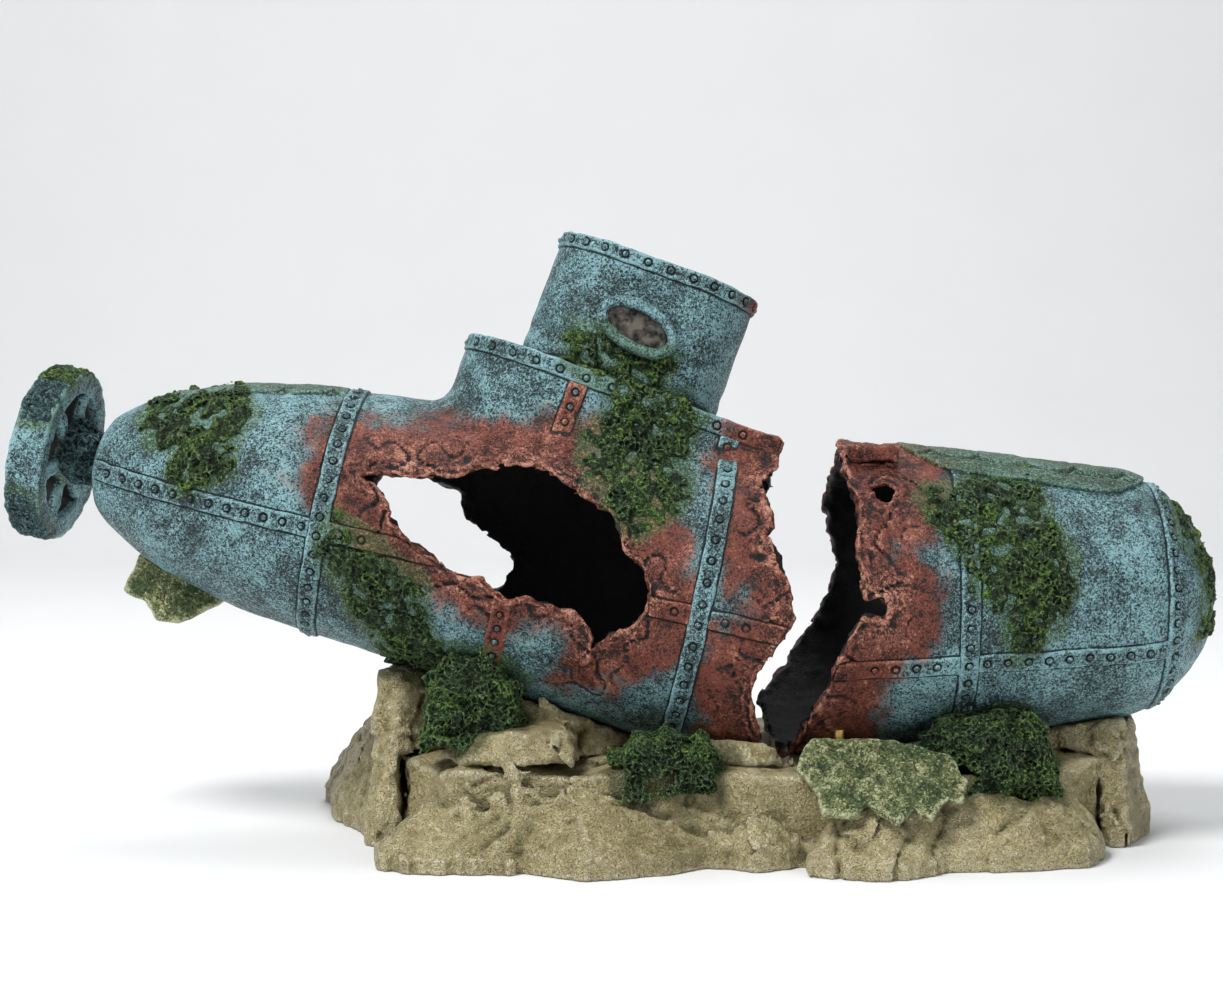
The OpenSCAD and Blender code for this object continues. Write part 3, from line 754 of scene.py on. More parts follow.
def rivet_heads(name, node):
    """Domed heads where a CAD node has rivets, each one a little different and set on its strap."""
    rows, sides = 5, 14
    points, faces = [], []
    for number, part in enumerate(RIVETS[node]):
        centre = part.mean(0)
        directions = np.linalg.svd(part - centre, full_matrices=False)[2]
        facing = directions[2] * np.sign(directions[2] @ (centre - nearest_axis_point(centre)))
        centre = centre + facing * (STRAP_LIFT - nearest_skin(centre))
        size = RIVET_HEAD * (1 + 0.08 * np.sin(number * 2.4))
        start = len(points)
        for i in range(rows):
            rise = i / rows * np.pi / 2
            for j in range(sides):
                turn = 2 * np.pi * j / sides
                sideways = directions[0] * np.cos(turn) + directions[1] * np.sin(turn)
                foot = centre + size * np.cos(rise) * sideways
                points.append(foot + facing * (DOME * np.sin(rise) - RIVET_SINK))
                if i < rows - 1:
                    here, above = start + i * sides, start + (i + 1) * sides
                    k = (j + 1) % sides
                    faces.append((here + j, here + k, above + k, above + j))
        points.append(centre + facing * (DOME - RIVET_SINK))
        last = start + (rows - 1) * sides
        faces += [(last + j, last + (j + 1) % sides, len(points) - 1) for j in range(sides)]
        faces.append(tuple(start + j for j in reversed(range(sides))))
    mesh = bpy.data.meshes.new(name)
    mesh.from_pydata([tuple(v) for v in np.array(points) * MM], [], faces)
    make_outward(mesh)
    piece = add_piece(name, mesh, node)
    rings = [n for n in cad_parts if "_ring_strap_" in n]
    to_ring = np.min([cad_distance(n, vertices(piece), *THIN) for n in rings], 0)
    finish_paint(piece, np.where(to_ring < 1, RUST_OF_RINGS, 1.0))
    return piece


def make_outward(mesh):
    whole = bmesh.new()
    whole.from_mesh(mesh)
    bmesh.ops.recalc_face_normals(whole, faces=whole.faces)
    whole.to_mesh(mesh)
    whole.free()


def nearest_skin(point):
    """Height of a point above the skin that lies closest to it."""
    p = np.array([point], np.float32)
    heights = [float(skin(p)[0]) for skin in (aft_skin, bow_skin, casing_wall, tower_wall)]
    return min(heights, key=abs)


def nearest_axis_point(point):
    """A point inside the casting that a point on its surface faces away from."""
    if point[0] > BREAK_X:
        q = BOW.local(point)
        return BOW.world([q[0], 0, 0])
    q = AFT.local(point)
    if np.hypot(q[1], q[2]) < aft_radius(q[0]) + 3:
        return AFT.world([q[0], 0, 0])
    t = TOWER.local(point)
    if t[2] > -5:
        half = TOWER_HI[0] - TOWER_HI[1]
        return TOWER.world([np.clip(t[0], -half, half), 0, t[2]])
    q = DECK.local(point)
    return DECK.world([max(q[0], DECK_REAR + DECK_HALF), 0, q[2]])


# ---- Pieces worn from their CAD nodes ----


FOOT = 3.0      # what stands on the ground goes straight down below this height


def worn(name, node, step=0.4, bump=0.25, bump_size=3.0, ragged=0.0, shape=None, blur=0.4):
    """A casting that keeps its CAD shape, with rounded edges and a lumpy surface."""
    stands = node_box(node)[0][2] < 0.1

    def rough(p):
        return cad_distance(node, p, *THICK)

    def detail(p, d):
        if stands:
            low = p[:, 2] < FOOT
            p[low, 2] = FOOT
            d[low] = rough(p[low])
        if ragged:
            p = p + ragged * noise_shift(p, 2.8, 61)
            d = rough(p)
        lumps = noise(p, bump_size, 64) + 0.4 * noise(p, bump_size / 2.6, 65)
        field = d + blur * 0.4 + bump * lumps
        return field if shape is None else shape(p, field)

    sampled(node, *THICK).soften(blur)
    piece = cast(name, node, step, rough, detail)
    finish_paint(piece)
    return piece


WHEEL_RIM = 4.6     # width of the wheel's rim


def wheel_piece():
    """The wheel, with the depth of its openings stored for the painted shade inside its rim."""
    piece = worn("stern_wheel_cast", "stern_wheel", step=0.36, blur=0.3)
    q = WHEEL.local(vertices(piece))
    inside = np.hypot(q[:, 1], q[:, 2]) < WHEEL_HI[2] - WHEEL_RIM
    paint(piece, "depth", inside * np.maximum(WHEEL_HI[0] - 0.4 - q[:, 0], 0))
    return piece


# ---- Materials ----


def rgb(r, g, b):
    """A colour as it looks on screen, 0 to 255, in Blender's linear numbers."""
    c = np.array([r, g, b]) / 255
    return tuple(np.where(c < 0.04045, c / 12.92, ((c + 0.055) / 1.055) ** 2.4)) + (1.0,)


class Shader:
    """Builds a material's nodes. Sizes are in millimetres of the part."""

    MIX_A, MIX_B, MIX_RESULT = 6, 7, 2      # a Mix node's sockets for colours

    def __init__(self, name):
        self.material = bpy.data.materials.new(name)
        self.material.use_nodes = True
        self.tree = self.material.node_tree
        self.surface = self.tree.nodes["Principled BSDF"]
        self.coords = self.tree.nodes.new("ShaderNodeTexCoord").outputs["Object"]

    def put(self, socket, value):
        if isinstance(value, bpy.types.NodeSocket):
            self.tree.links.new(value, socket)
        else:
            socket.default_value = value

    def node(self, kind, **settings):
        made = self.tree.nodes.new(kind)
        for key, value in settings.items():
            setattr(made, key, value)
        return made

    def attribute(self, name):
        return self.node("ShaderNodeAttribute", attribute_name=name).outputs["Fac"]

    def texture(self, kind, size, seed):
        """A texture of that size, moved by its seed."""
        shift = self.node("ShaderNodeVectorMath", operation="ADD")
        self.put(shift.inputs[0], self.coords)
        shift.inputs[1].default_value = (seed * 0.37, seed * 0.71, seed * 0.19)
        made = self.node(kind)
        self.put(made.inputs["Vector"], shift.outputs[0])
        made.inputs["Scale"].default_value = 1 / (size * MM)
        return made

    def noise(self, size, detail=2.0, rough=0.5, seed=0.0, distort=0.0):
        made = self.texture("ShaderNodeTexNoise", size, seed)
        made.inputs["Detail"].default_value = detail
        made.inputs["Roughness"].default_value = rough
        made.inputs["Distortion"].default_value = distort
        return made.outputs["Fac"]

    def cells(self, size):
        """Distance from the nearest of some scattered points."""
        return self.texture("ShaderNodeTexVoronoi", size, 0).outputs["Distance"]

    def ramp(self, value, low, high, to_low=0.0, to_high=1.0):
        made = self.node("ShaderNodeMapRange", interpolation_type="SMOOTHSTEP", clamp=True)
        self.put(made.inputs["Value"], value)
        for key, number in (("From Min", low), ("From Max", high), ("To Min", to_low), ("To Max", to_high)):
            self.put(made.inputs[key], number)
        return made.outputs["Result"]

    def math(self, operation, a, b=0.0):
        made = self.node("ShaderNodeMath", operation=operation)
        self.put(made.inputs[0], a)
        self.put(made.inputs[1], b)
        return made.outputs[0]

    def times(self, a, b):
        return self.math("MULTIPLY", a, b)

    def total(self, *terms):
        """The sum of some values, each with a weight where it is given as a pair."""
        values = [self.times(*term) if isinstance(term, tuple) else term for term in terms]
        added = values[0]
        for value in values[1:]:
            added = self.math("ADD", added, value)
        return added

    def mix(self, a, b, share, most=1.0):
        """Goes from a to b with share, as far as most."""
        made = self.node("ShaderNodeMix", data_type="RGBA")
        self.put(made.inputs["Factor"], share if most == 1 else self.times(share, most))
        self.put(made.inputs[self.MIX_A], a)
        self.put(made.inputs[self.MIX_B], b)
        return made.outputs[self.MIX_RESULT]

    def centred(self, value):
        """A noise with its middle moved to 0."""
        return self.math("ADD", value, -0.5)

    def bump(self, height, distance):
        """Adds a bump of that height in mm on top of the earlier ones."""
        made = self.node("ShaderNodeBump")
        made.inputs["Distance"].default_value = distance * MM
        made.inputs["Strength"].default_value = 1.0
        self.put(made.inputs["Height"], height)
        normal = self.surface.inputs["Normal"]
        if normal.links:
            self.put(made.inputs["Normal"], normal.links[0].from_socket)
        self.put(normal, made.outputs["Normal"])

    def done(self, color, rough, specular=0.3):
        self.put(self.surface.inputs["Base Color"], color)
        self.put(self.surface.inputs["Roughness"], rough)
        self.surface.inputs["Specular IOR Level"].default_value = specular
        return self.material


SLATE_LIGHT = rgb(142, 184, 189)
SLATE = rgb(92, 129, 134)
SLATE_DARK = rgb(56, 72, 74)
WASH = rgb(12, 20, 22)
RUST_DARK = rgb(34, 19, 15)
RUST = rgb(118, 60, 46)
# copper dry-brush and painted sheen on the rust
COPPER_AND_SHEEN = rgb(206, 150, 126)
MOSS_DARK = rgb(4, 12, 5)
MOSS = rgb(46, 76, 32)
MOSS_GREY = rgb(128, 150, 108)
MOSS_LIGHT = rgb(128, 158, 74)
# near-black inside: dark paint and painted shade in the hulls, painted shade in the wheel
INSIDE_PAINT_AND_SHADE = rgb(18, 18, 18)


def paint_material(name, brushed=0.5, rusty=0.0, greenish=0.0, straps=False):
    """Turquoise dry-brushed over a dark wash on a pitted casting, going over to rust and moss in grains.

    brushed is how much of the surface the pale turquoise covers.
    """
    s = Shader(name)
    big = s.centred(s.noise(17, 3, 0.55, seed=1))
    mid = s.centred(s.noise(5, 3, 0.6, seed=2))
    grain = s.noise(0.48, 3, 0.6, seed=3, distort=1.0)
    tooth = s.centred(grain)
    hollow = s.attribute("hollow")
    lip = s.attribute("lip")
    cover = s.total((big, 0.5), (mid, 0.35), brushed - 0.5)
    height = s.total(grain, (hollow, -0.8))
    color = s.mix(SLATE_DARK, SLATE, s.ramp(s.total(cover, (tooth, 0.6)), -0.2, 0.12))
    color = s.mix(color, SLATE_LIGHT, s.ramp(s.total(height, (cover, 0.7)), 0.48, 0.66))
    color = s.mix(color, WASH, s.ramp(s.total(height, (cover, 0.35)), 0.53, 0.42), 0.92)
    rust_color = s.mix(RUST_DARK, RUST, s.ramp(s.total(height, (mid, 0.5)), 0.4, 0.52))
    # Copper dry-brush and painted sheen: the rust goes pale copper on ridges, torn lips and in patches.
    glint = s.total((hollow, -0.6), (lip, 0.036), tooth, (mid, 0.6), (big, 0.4))
    rust_color = s.mix(rust_color, COPPER_AND_SHEEN, s.ramp(glint, 0.06, 0.34), 0.85)
    rust = s.total(s.attribute("rust"), rusty, (tooth, 1.3), (mid, 0.7))
    color = s.mix(color, rust_color, s.ramp(rust, 0.3, 0.66))
    green = s.total(s.attribute("green"), greenish, tooth, (mid, 0.8))
    green_color = s.mix(MOSS, MOSS_GREY, s.ramp(grain, 0.48, 0.7))
    color = s.mix(color, green_color, s.ramp(green, 0.4, 0.85), 0.6)
    color = s.mix(color, WASH, s.ramp(hollow, 0.03, 0.15), 0.8)
    color = s.mix(color, WASH, s.ramp(s.attribute("hollow_wide"), 0.1, 0.7), 0.6)
    crack = s.math("ABSOLUTE", s.centred(s.noise(2.8, 2, 0.5, seed=5, distort=2.0)))
    crack = s.times(s.ramp(crack, 0.035, 0.01), lip)
    color = s.mix(color, WASH, crack, 0.9)
    s.bump(crack, -0.35)
    if straps:
        away = s.attribute("line")
        inner = s.ramp(away, RIVET_HEAD - 0.1, RIVET_HEAD + 0.06)
        outer = s.ramp(away, RIVET_RING + 0.15, RIVET_RING - 0.1)
        color = s.mix(color, WASH, s.times(inner, outer), 0.92)
    else:
        line = s.ramp(s.attribute("strap_gap"), 0.5, 0.25)
        color = s.mix(color, WASH, line, 0.92)
        s.bump(line, -0.3)
        # Painted shade: near-black more than 1.3 mm deep, inside the wheel's rim, and over the dark paint
        # inside the hulls.
        color = s.mix(color, INSIDE_PAINT_AND_SHADE, s.ramp(s.attribute("depth"), 1.3, 2.2))
    s.bump(grain, 0.36)
    s.bump(mid, 0.5)
    return s.done(color, s.ramp(grain, 0.35, 0.65, 0.6, 0.42), 0.35)


def growth_material(name, dark, mid_color, light, fresh):
    """Curled ridges: nearly black in the hollows, dry-brushed pale on top, fresher in patches."""
    s = Shader(name)
    fine = s.noise(0.55, 3, 0.65, seed=11, distort=1.8)
    mid = s.centred(s.noise(6, 3, 0.6, seed=12))
    height = s.total((s.attribute("hollow"), -1.0), (s.centred(fine), 1.7), (mid, 0.4))
    color = s.mix(dark, mid_color, s.ramp(height, -0.1, 0.1))
    color = s.mix(color, s.mix(light, fresh, s.ramp(mid, -0.05, 0.08)), s.ramp(height, 0.08, 0.38))
    s.bump(fine, 0.6)
    return s.done(color, 0.6, 0.3)


def plate_material(name):
    """Torn sheet, mottled green over a pitted surface, with pale grey-green painted highlights on its raised
    grain.
    """
    s = Shader(name)
    mid = s.centred(s.noise(7, 3, 0.6, seed=41))
    grain = s.noise(0.6, 3, 0.6, seed=42, distort=1.0)
    height = s.total(grain, (s.attribute("hollow"), -0.8))
    color = s.mix(rgb(50, 74, 26), rgb(122, 128, 76), s.ramp(mid, -0.2, 0.2))
    # Painted highlight: pale grey-green on the raised grain and ridges.
    color = s.mix(color, rgb(208, 212, 170), s.ramp(s.total(height, (mid, 0.3)), 0.52, 0.7), 0.75)
    color = s.mix(color, rgb(20, 26, 10), s.ramp(height, 0.51, 0.38), 0.9)
    s.bump(grain, 0.7)
    s.bump(mid, 2.0)
    return s.done(color, 0.36, 0.5)


def rock_material(name):
    """Tan sandstone with chisel strokes that carry thin painted glints, turning olive in the valleys."""
    s = Shader(name)
    big = s.centred(s.noise(26, 3, 0.55, seed=21))
    mid = s.centred(s.noise(7, 3, 0.55, seed=22, distort=0.6))
    stroke = s.centred(s.noise(2.2, 2, 0.55, seed=23, distort=2.5))
    fine = s.centred(s.noise(0.8, 3, 0.6, seed=24, distort=1.0))
    hollow = s.attribute("hollow")
    tone = s.total((big, 0.9), (mid, 0.6), (fine, 0.5))
    color = s.mix(rgb(160, 145, 98), rgb(226, 211, 160), s.ramp(tone, -0.35, 0.35))
    # Painted glints: thin pale lines along the chisel strokes. The ridges get the same pale colour as
    # dry-brush.
    line = s.times(s.ramp(s.math("ABSOLUTE", stroke), 0.022, 0.0), s.ramp(mid, -0.05, 0.1))
    edge = s.ramp(s.total((hollow, -1.0), (fine, 0.5)), 0.0, 0.45)
    color = s.mix(color, rgb(246, 236, 204), s.math("MAXIMUM", line, edge), 0.6)
    olive = s.total((s.attribute("hollow_wide"), 0.9), (mid, 0.5), (big, -0.9))
    color = s.mix(color, rgb(104, 102, 50), s.ramp(olive, -0.1, 0.75), 0.85)
    color = s.mix(color, rgb(40, 40, 22), s.ramp(s.total(hollow, (fine, -0.2)), 0.05, 0.4), 0.75)
    green = s.total(s.attribute("green"), (mid, 1.4))
    color = s.mix(color, rgb(70, 78, 34), s.ramp(green, 0.2, 1.0), 0.8)
    s.bump(mid, 3.0)
    s.bump(s.math("ABSOLUTE", stroke), 3.6)
    s.bump(fine, 0.9)
    return s.done(color, 0.34, 0.6)


def plain_material(name, color_a, color_b, size, rough, metallic=0.0, bump=0.05, pitted=False):
    """One material in two shades, in patches of that size."""
    s = Shader(name)
    value = s.noise(size, 3, 0.6, seed=31)
    color = s.mix(color_a, color_b, s.ramp(value, 0.38, 0.62))
    if pitted:
        holes = s.ramp(s.cells(size), 0.45, 0.15)
        color = s.mix(color, tuple(c * 0.3 for c in color_a[:3]) + (1.0,), holes)
        s.bump(holes, -0.3)
    s.bump(value, bump)
    s.surface.inputs["Metallic"].default_value = metallic
    return s.done(color, rough, 0.4)


MATERIALS = {
    "hull_paint": paint_material("hull_paint"),
    "strap_paint": paint_material("strap_paint", brushed=0.46, straps=True),
    "deck_paint": paint_material("deck_paint", brushed=0.45, greenish=0.74, straps=True),
    "rust_paint": paint_material("rust_paint", rusty=0.8, straps=True),
    "rivet_paint": paint_material("rivet_paint", brushed=0.36),
    "plate_paint": plate_material("plate_paint"),
    # porthole pane: near-black paint with pale grey-brown patches, which are painted reflections
    "dark_paint": plain_material("dark_paint", rgb(14, 15, 15), rgb(104, 98, 88), 3.0, 0.3, bump=1.0),
    "rock_paint": rock_material("rock_paint"),
    "moss_paint": growth_material("moss_paint", MOSS_DARK, MOSS, MOSS_GREY, MOSS_LIGHT),
    "crust_paint": growth_material("crust_paint", rgb(8, 20, 23), rgb(52, 82, 86), rgb(132, 168, 172),
                                   rgb(112, 142, 132)),
    "air_stone": plain_material("air_stone", rgb(92, 120, 160), rgb(142, 164, 190), 0.7, 0.9,
                                bump=0.2, pitted=True),
    "tube_plastic": plain_material("tube_plastic", rgb(52, 54, 56), rgb(70, 72, 74), 3, 0.35),
    "plug_rubber": plain_material("plug_rubber", rgb(22, 22, 22), rgb(34, 34, 34), 2, 0.7),
    "nozzle_brass": plain_material("nozzle_brass", rgb(150, 118, 62), rgb(196, 166, 104), 1.5, 0.35,
                                   metallic=0.9),
}


def dress(piece, slot):
    piece.data.materials.clear()
    piece.data.materials.append(MATERIALS[slot])
    return piece


# ---- Casing, tower and portholes ----

DECK_SHEET = 3.0        # thickness of the casing's deck


def casing_piece():
    """The deck casing: walls that flare out onto the hull, open at the broken end."""
    def field(p):
        outer = casing_skin(p)
        hull_skin = aft_skin(p)
        flared = blend_min(outer, hull_skin + 0.2, 5)
        torn = AFT_TORN(p)
        lump = np.maximum(0.3 + 0.8 * noise(p, 3.0, 41), 0) * np.exp(-np.maximum(torn, 0) / 1.6)
        inner = blend_max(outer + WALL, DECK.local(p)[:, 2] - DECK_TOP + DECK_SHEET, 1)
        body = blend_max(flared - 0.8 * lump, -inner, 0.5)
        body = blend_max(body, -chipped(p, torn, outer), 0.5)
        near = np.maximum(outer - 6 + 1.2 * noise(p, 6, 71), -(hull_skin + 1.2))
        return blend_max(body, near, 0.3)

    piece = cast("deck_casing_shell", "deck_casing", 0.6, field, below=6, above=3)
    note_strap_edges(piece, ["deck_rim_strap", "casing_upright_straps"])
    finish_paint(piece)
    return piece


def tower_piece():
    """The conning tower, folded at its foot, with a shallow well in its top."""
    def field(p):
        q = TOWER.local(p)
        outer = blend_min(tower_skin(p), casing_skin(p) + 0.2, 2.5)
        fold = 0.5 * np.sin(q[:, 2] * 1.1 + 2.5 * noise(p, 9, 72)) * (1 - smoothstep(-26, -16, q[:, 2]))
        well = np.maximum(stadium(q, TOWER_HI[0] - WALL, TOWER_HI[1] - WALL), TOWER_HI[2] - 2 - q[:, 2])
        near = np.maximum(tower_skin(p) - 4, -(casing_skin(p) + 1.2))
        pane_seat = -cad_distance("porthole_panes", p, 0.3, 3.0)
        return np.maximum(blend_max(blend_max(outer + 0.4 * fold, -well, 0.5), near, 0.3), pane_seat)

    piece = cast("conning_tower_shell", "conning_tower", 0.55, field, below=3, above=1)
    note_strap_edges(piece, ["tower_rim_strap"])
    finish_paint(piece, 0.0)
    return piece


RIM_ROLL = 1.25         # radius of the rolled edge


def porthole_rims():
    """Thick rolled rims round the portholes."""
    node = "porthole_rims"
    rims = []
    for part in loose_parts(node):
        middle = (part.min(0) + part.max(0)) / 2
        directions = np.linalg.svd(part - part.mean(0), full_matrices=False)[2]
        flat = (part - middle) @ directions.T
        rims.append((middle, directions, flat.max(0) - flat.min(0)))

    def field(p):
        found = []
        for middle, directions, size in rims:
            q = (p - middle) @ directions.T
            line = oval(q, size[0] / 2 - RIM_ROLL, size[1] / 2 - RIM_ROLL)
            rise = np.maximum(np.abs(q[:, 2]) - size[2] / 2 + RIM_ROLL, 0)
            found.append(np.hypot(line, rise) - RIM_ROLL)
        return np.min(found, 0) + 0.25 * noise(p, 2.6, 74)

    piece = cast("porthole_rim_cast", node, 0.28, field, below=0.6, above=0.6)
    finish_paint(piece)
    return piece


# ---- Growth ----


def worms(p, size, seed):
    """Curled ridges, from 0 in the gaps to 1 on top."""
    first = np.abs(noise(p, size, seed))
    second = np.abs(noise(p, size * 0.8, seed + 1))
    return np.maximum(1 - smoothstep(0.0, 0.34, first), 1 - smoothstep(0.0, 0.28, second))


def growth(node, skin=None, thick=1.6, size=1.7, seed=80, ragged=1.7):
    """A pad or mound of moss or crust on the ground that a CAD node covers."""
    def rough(p):
        return cad_distance(node, p, *THICK)

    def mound(p, clump, ridge):
        base = rough((p + 2.2 * noise_shift(p, 6, seed + 5)).astype(np.float32))
        return base + 0.7 + 1.3 * clump - 1.0 * ridge + 0.9 * noise(p, 3.2, seed + 4)

    def pad(p, clump, ridge):
        surface = skin(p)
        side = footprint(node, skin, p, surface)
        loose = np.exp(np.minimum(side, 0) / 2.5)
        side = side - 0.6 + ragged * loose * (clump + 1.2 * noise(p, 2.6, seed + 6))
        rise = smoothstep(0.5, -2.0, side)
        lumps = np.maximum(0.4 + 0.5 * clump + 0.35 * noise(p, 3.2, seed + 4), 0.2)
        top = surface - rise * lumps * thick - 0.55 * thick * ridge * rise + 0.5 * (1 - rise)
        return blend_max(np.maximum(top, side), -(surface + 1.2), 0.3)

    def detail(p, d):
        form = mound if skin is None else pad
        return form(p, noise(p, 7, seed), worms(p, size, seed + 2))

    piece = cast(f"{node}_pad", node, 0.3, rough, detail, below=0.5, above=0.5)
    finish_paint(piece)
    return piece


# ---- Rocks ----


STROKE = np.array([0.8, 0.8, 1.6], np.float32)      # makes a chisel's strokes longer than high


def rock_wear(p, field):
    """Broad slabs with a few creases, shallow ledges and the short strokes of a chisel."""
    wavy = p + 2.0 * noise_shift(p, 16, 91)
    slabs = 1.1 * noise(wavy, 22, 94) + 0.75 * facets(wavy, 17, 95)
    creases = 0.7 * smoothstep(0.1, 0.0, np.abs(noise(wavy, 17, 96)))
    creases = creases * smoothstep(-0.1, 0.3, noise(p, 22, 97))
    tilted = wavy[:, 2] + 0.3 * wavy[:, 0] * np.sign(noise(p, 60, 90))
    ledges = 0.22 * np.sin(tilted * 1.1 + 2.0 * noise(p, 14, 98))
    ledges = ledges * smoothstep(-0.1, 0.5, noise(p, 13, 89))
    strokes = 0.5 * noise(p * STROKE, 3.4, 99) + 0.22 * noise(p, 1.7, 100)
    return field + 0.2 + slabs + creases + ledges + strokes


def plinth_wear(p, field):
    """Wavier than the rocks, but true round the air line's socket."""
    lo, hi = node_box("air_stone", "socket_plug", "bubble_nozzle")
    clear = np.sqrt((np.maximum(np.maximum(lo - p, p - hi), 0) ** 2).sum(1))
    wild = smoothstep(3, 9, clear)
    wavy = p + 2.2 * wild[:, None] * noise_shift(p, 18, 71)
    worn_down = rock_wear(p, cad_distance("plinth", wavy.astype(np.float32), *THICK))
    return (1 - wild) * field + wild * worn_down


# ---- Putting it together ----


def upright_piece():
    """The casing's upright straps: rusted at the rear, and turquoise at the fore, like the ring below."""
    piece = raised("casing_upright_cast", "casing_upright_straps", casing_skin)
    along = DECK.local(vertices(piece))[:, 0]
    paint(piece, "rust", np.where(along < (along.min() + along.max()) / 2, 1.6, 0.0))
    return piece


def scallops(axis):
    """Incised arcs and a border on a deck plate, as height to take off."""
    def pattern(p):
        q = axis.local(p)
        across = np.abs(q[:, 1])
        wave = np.abs(np.mod(q[:, 0] / 11 + 0.5, 1) - 0.5) * 11
        arc = np.abs(np.hypot(wave, across - 4) - 6.5)
        border = np.abs(across - 10.5)
        return 0.7 * (1 - smoothstep(0.3, 0.8, np.minimum(arc, border)))
    return pattern


def straps_of(section, skin):
    return [
        raised(f"{n}_cast", n, skin, rusts=RUST_OF_RINGS if "ring" in n else 1.0) for n in STRAPS[section]
    ]


def build():
    """Makes every piece, and gives it its material."""
    pieces = {
        "hull_paint": [
            hull("aft_hull_shell", "aft_hull", AFT, aft_radius, aft_skin, AFT_TORN,
                 lambda u: AFT_CAVITY_START - u, STRAPS["aft"]),
            hull("bow_hull_shell", "bow_hull", BOW, bow_radius, bow_skin, BOW_TORN,
                 lambda u: u - BOW_CAVITY_END, STRAPS["bow"]),
            casing_piece(),
            tower_piece(),
            worn("stern_shaft_cast", "stern_shaft", blur=0.3),
            wheel_piece(),
            worn("tower_hatch_cast", "tower_hatch", step=0.3, bump=0.15, blur=0.3),
            porthole_rims(),
        ],
        "strap_paint": straps_of("aft", aft_skin) + straps_of("bow", bow_skin) + [
            upright_piece(),
            raised("deck_rim_cast", "deck_rim_strap", casing_wall),
            raised("tower_rim_cast", "tower_rim_strap", tower_wall),
        ],
        "deck_paint": [
            raised("aft_deck_plate_cast", "aft_deck_plate", aft_skin, lift=0.8, pattern=scallops(AFT)),
            raised("bow_deck_plate_cast", "bow_deck_plate", bow_skin, lift=1.1, pattern=scallops(BOW)),
        ],
        "rust_paint": [
            raised("aft_tear_strap_cast", "aft_tear_strap", aft_skin),
            worn("bow_casing_stub_cast", "bow_casing_stub", step=0.3, ragged=0.6, blur=0.5),
            worn("bow_rim_stub_cast", "bow_rim_stub", step=0.3, ragged=0.6, blur=0.5),
        ],
        "rivet_paint": [rivet_heads(f"{n}_heads", n) for n in RIVETS],
        "dark_paint": [
            # the pane's pale patches are painted reflections
            worn("porthole_pane_cast", "porthole_panes", step=0.26, bump=0.15, bump_size=2.4, blur=0.1),
        ],
        "rock_paint": [
            worn(f"{n}_stone", n, step=0.6, shape=rock_wear, blur=1.1)
            for n in ("rocks_left", "rocks_front", "rocks_right", "rocks_rear")
        ] + [
            worn("plinth_stone", "plinth", step=0.6, shape=plinth_wear, blur=0.6),
        ],
        "moss_paint": [
            growth("moss_stern", aft_skin, seed=110),
            growth("moss_side", aft_skin, seed=120),
            growth("moss_tower", upper_skin, seed=130),
            growth("moss_bow", bow_skin, seed=140),
            growth("crust_nose", bow_skin, thick=1.2, seed=150),
            growth("moss_wheel", wheel_skin, thick=1.3, size=1.5, seed=160, ragged=0.7),
            growth("moss_base_left", seed=170),
            growth("moss_base_middle", seed=180),
            growth("moss_base_right", seed=190),
        ],
        "plate_paint": [
            worn("stern_fin_cast", "stern_fin", step=0.34, bump=0.15, ragged=0.3, blur=0.25),
            worn("fallen_plate_cast", "fallen_plate", step=0.34, bump=0.2, ragged=0.4, blur=0.25),
        ],
        "crust_paint": [
            growth("crust_hub", seed=200),
            growth("crust_wheel", wheel_skin, thick=1.3, size=1.5, seed=210, ragged=0.7),
        ],
    }
    for slot, made in pieces.items():
        for piece in made:
            dress(piece, slot)
    for node, slot in (("air_stone", "air_stone"), ("air_spigot", "tube_plastic"),
                       ("socket_plug", "plug_rubber"), ("bubble_nozzle", "nozzle_brass")):
        dress(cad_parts[node], slot)


# ---- Stage, light and camera ----

CAMERA_DISTANCE = 0.510
CAMERA_HEIGHT = 0.105
CAMERA_PITCH = 3.1       # degrees down
CAMERA_LENS = 64.8
CAMERA_SENSOR = 36


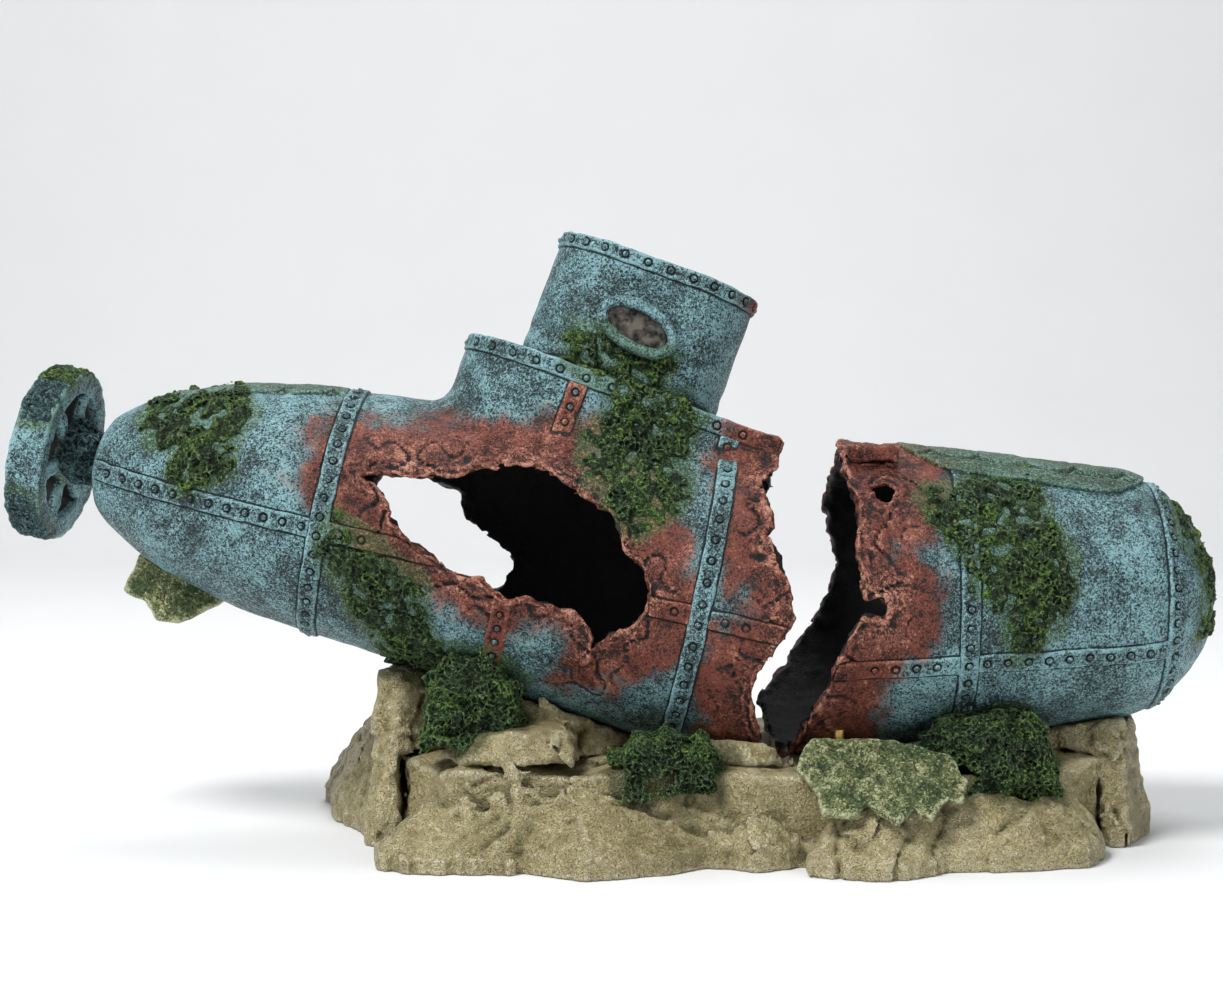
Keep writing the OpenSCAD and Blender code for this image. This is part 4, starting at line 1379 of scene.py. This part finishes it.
def add_stage():
    """A pale floor that curves up into a backdrop."""
    depth, width, rise, bend = 1.1, 3.0, 1.6, 0.35
    profile = [(-1.5, 0.0), (depth - bend, 0.0)]
    profile += [
        (depth - bend + bend * np.sin(a), bend - bend * np.cos(a)) for a in np.linspace(0.1, np.pi / 2, 12)
    ]
    profile.append((depth, rise))
    points = [(x, y, z) for y, z in profile for x in (-width, width)]
    faces = [(2 * i, 2 * i + 1, 2 * i + 3, 2 * i + 2) for i in range(len(profile) - 1)]
    mesh = bpy.data.meshes.new("stage")
    mesh.from_pydata(points, [], faces)
    mesh.shade_smooth()
    stage = add_object("stage", mesh)
    s = Shader("stage_paper")
    color = s.mix(rgb(236, 236, 236), rgb(240, 240, 240), s.noise(60, 2, 0.5))
    mesh.materials.append(s.done(color, 0.9, 0.1))


def add_area(name, place, size, watts, aim):
    light = bpy.data.lights.new(name, "AREA")
    light.shape = "DISK"
    light.size = size
    light.energy = watts
    lamp = add_object(name, light)
    lamp.location = place
    lamp.rotation_euler = (Vector(aim) - Vector(place)).to_track_quat("-Z", "Y").to_euler()


def add_lights():
    middle = (0, 0, 0.06)
    add_area("key", (-0.5, -0.55, 1.0), 0.45, 13, middle)
    add_area("fill", (0.9, -0.8, 0.35), 0.9, 2, middle)
    add_area("top", (0.1, 0.3, 1.2), 0.8, 6, middle)
    world = bpy.data.worlds.new("studio")
    world.use_nodes = True
    background = world.node_tree.nodes["Background"]
    background.inputs["Color"].default_value = (0.9, 0.95, 1.0, 1)
    background.inputs["Strength"].default_value = 0.32
    bpy.context.scene.world = world
    bpy.context.scene.view_settings.view_transform = "Standard"


def add_camera():
    data = bpy.data.cameras.new("camera")
    data.lens = CAMERA_LENS
    data.sensor_width = CAMERA_SENSOR
    camera = add_object("camera", data)
    camera.location = (0, -CAMERA_DISTANCE, CAMERA_HEIGHT)
    camera.rotation_euler = (np.radians(90 - CAMERA_PITCH), 0, 0)
    bpy.context.scene.camera = camera


build()
add_stage()
add_lights()
add_camera()

bpy.context.view_layer.update()
